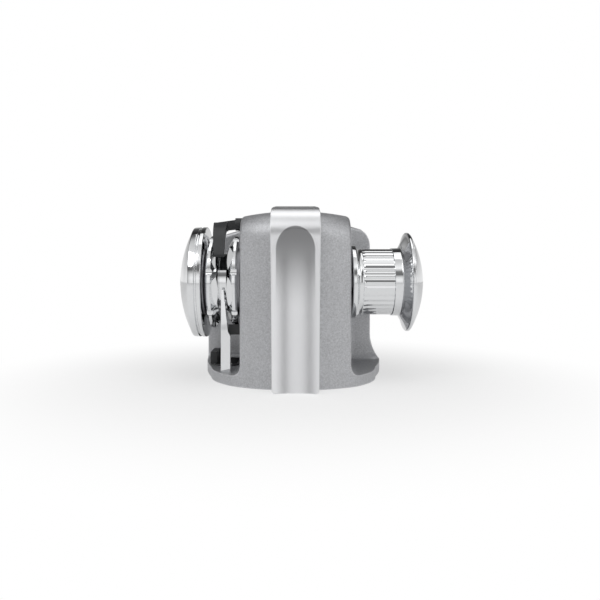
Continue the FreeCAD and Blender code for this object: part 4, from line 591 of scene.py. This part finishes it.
class WINDLASS_OT_studio(bpy.types.Operator):
    """Pale floor, white surround, soft lamps and the camera"""

    bl_idname = "windlass.studio"
    bl_label = "Studio"

    def execute(self, context):
        studio = context.scene.windlass_studio
        self.make_world(context.scene)
        self.make_floor()
        self.make_lamp("key_lamp", (-0.75, -0.9, 1.25), size=0.8, power=4)
        self.make_lamp("fill_lamp", (0.95, -0.75, 0.85), size=0.7, power=2)
        self.make_lamp("top_lamp", (0.0, 0.25, 1.5), size=0.9, power=2.2)
        camera = bpy.data.cameras.new("studio_camera")
        camera.lens = studio.lens
        camera.sensor_width = 36
        camera.shift_x = 0.0075
        camera.shift_y = -0.055
        camera.clip_start = 0.01
        placed = bpy.data.objects.new("studio_camera", camera)
        placed.location = (0, -studio.distance, studio.height)
        placed.rotation_euler = (math.pi / 2, 0, 0)
        context.scene.collection.objects.link(placed)
        context.scene.camera = placed
        context.scene.view_settings.view_transform = "Standard"
        return {"FINISHED"}

    def make_world(self, scene):
        """White to the camera; a studio with dark flags and pale walls in reflections."""
        world = bpy.data.worlds.new("studio_world")
        world.use_nodes = True
        scene.world = world
        graph = Graph(world.node_tree)
        place = graph.node("ShaderNodeTexCoord", {}, {}, "Generated")
        along = graph.axis(place, "X")
        depth = graph.axis(place, "Y")
        height = graph.axis(place, "Z")
        front = [(0, 0.9), (0.15, 1.0), (0.28, 0.8), (0.42, 0.16), (0.58, 0.22), (0.74, 1.1), (1, 0.6)]
        low_back = [(0, 0.85), (0.1, 0.62), (0.2, 0.2), (0.32, 0.45)]
        high_back = [(0.46, 0.12), (0.8, 0.02), (0.92, 0.2), (1, 0.6)]
        ahead = graph.node("ShaderNodeValToRGB", {"stops": front}, {0: height})
        behind = graph.node("ShaderNodeValToRGB", {"stops": low_back + high_back}, {0: height})
        room = graph.mix(ahead, behind, depth.above(0.15, 0.5))
        low = 1 - height.above(0.5, 0.5)
        side = along.above(-0.62, 0.16) * (1 - along.above(-0.38, 0.16))
        flag = along.above(0.3, 0.12) * (1 - along.above(0.52, 0.12))
        dark = (side * 0.85 + flag * 0.85) * low * (1 - depth.above(0.7, 0.3))
        room = graph.mix(room, (0.03, 0.03, 0.032), dark)
        seen = graph.node("ShaderNodeLightPath", {}, {}, "Is Camera Ray")
        glow = world.node_tree.nodes.new("ShaderNodeBackground")
        graph.join(graph.mix(room, (1, 1, 1), seen), glow)
        finish = world.node_tree.nodes.new("ShaderNodeOutputWorld")
        world.node_tree.links.new(glow.outputs[0], finish.inputs[0])

    def make_floor(self):
        mesh = bmesh.new()
        sunk = Matrix.Translation((0, 0, -0.0002))
        bmesh.ops.create_circle(mesh, cap_ends=True, segments=96, radius=6, matrix=sunk)
        data = bpy.data.meshes.new("studio_floor")
        mesh.to_mesh(data)
        mesh.free()
        floor = bpy.data.objects.new("studio_floor", data)
        bpy.context.scene.collection.objects.link(floor)
        paint = Paint("pale_floor")
        length = {"operation": "LENGTH"}
        reach = paint.node("ShaderNodeVectorMath", length, {0: paint.place}, "Value")
        far = reach.above(0.3, 0.34) * 0.45 + 0.55
        seen = paint.node("ShaderNodeLightPath", {}, {}, "Is Camera Ray")
        mirrored = paint.node("ShaderNodeLightPath", {}, {}, "Is Glossy Ray")
        glow = paint.tree.nodes.new("ShaderNodeEmission")
        blend = paint.tree.nodes.new("ShaderNodeMixShader")
        paint.join(far * seen + mirrored * 0.3, blend)
        paint.tree.links.new(paint.surface.outputs[0], blend.inputs[1])
        paint.tree.links.new(glow.outputs[0], blend.inputs[2])
        paint.tree.links.new(blend.outputs[0], paint.finish.inputs[0])
        data.materials.append(paint.set(Base_Color=(0.93, 0.93, 0.93), Roughness=0.9))

    def make_lamp(self, name, spot, size, power):
        lamp = bpy.data.lights.new(name, "AREA")
        lamp.energy = power
        lamp.size = size
        placed = bpy.data.objects.new(name, lamp)
        placed.location = spot
        placed.rotation_euler = (SHAFT_CENTRE - Vector(spot)).to_track_quat("-Z", "Y").to_euler()
        bpy.context.scene.collection.objects.link(placed)


class WINDLASS_PT_panel(bpy.types.Panel):
    """Lists the windlass's settings and pieces"""

    bl_label = "Windlass"
    bl_idname = "WINDLASS_PT_panel"
    bl_space_type = "VIEW_3D"
    bl_region_type = "UI"
    bl_category = "Windlass"

    def draw(self, context):
        for name in ("windlass_looks", "windlass_sizes", "windlass_studio"):
            group = getattr(context.scene, name)
            for key in group.__annotations__:
                self.layout.prop(group, key)
        for step in STEPS:
            self.layout.operator(step.bl_idname)


GROUPS = {"windlass_looks": WindlassLooks, "windlass_sizes": WindlassSizes, "windlass_studio": WindlassStudio}
STEPS = (
    WINDLASS_OT_studio,
    WINDLASS_OT_finishes,
    WINDLASS_OT_clutch_cap,
    WINDLASS_OT_drum,
    WINDLASS_OT_drum_cap,
)


def register():
    for group in (*GROUPS.values(), *STEPS, WINDLASS_PT_panel):
        bpy.utils.register_class(group)
    for name, group in GROUPS.items():
        setattr(bpy.types.Scene, name, bpy.props.PointerProperty(type=group))


def unregister():
    for name in GROUPS:
        delattr(bpy.types.Scene, name)
    for group in (WINDLASS_PT_panel, *reversed(STEPS), *GROUPS.values()):
        bpy.utils.unregister_class(group)


def main():
    register()
    for step in STEPS:
        group, name = step.bl_idname.split(".")
        getattr(getattr(bpy.ops, group), name)()


if __name__ == "__main__":
    main()
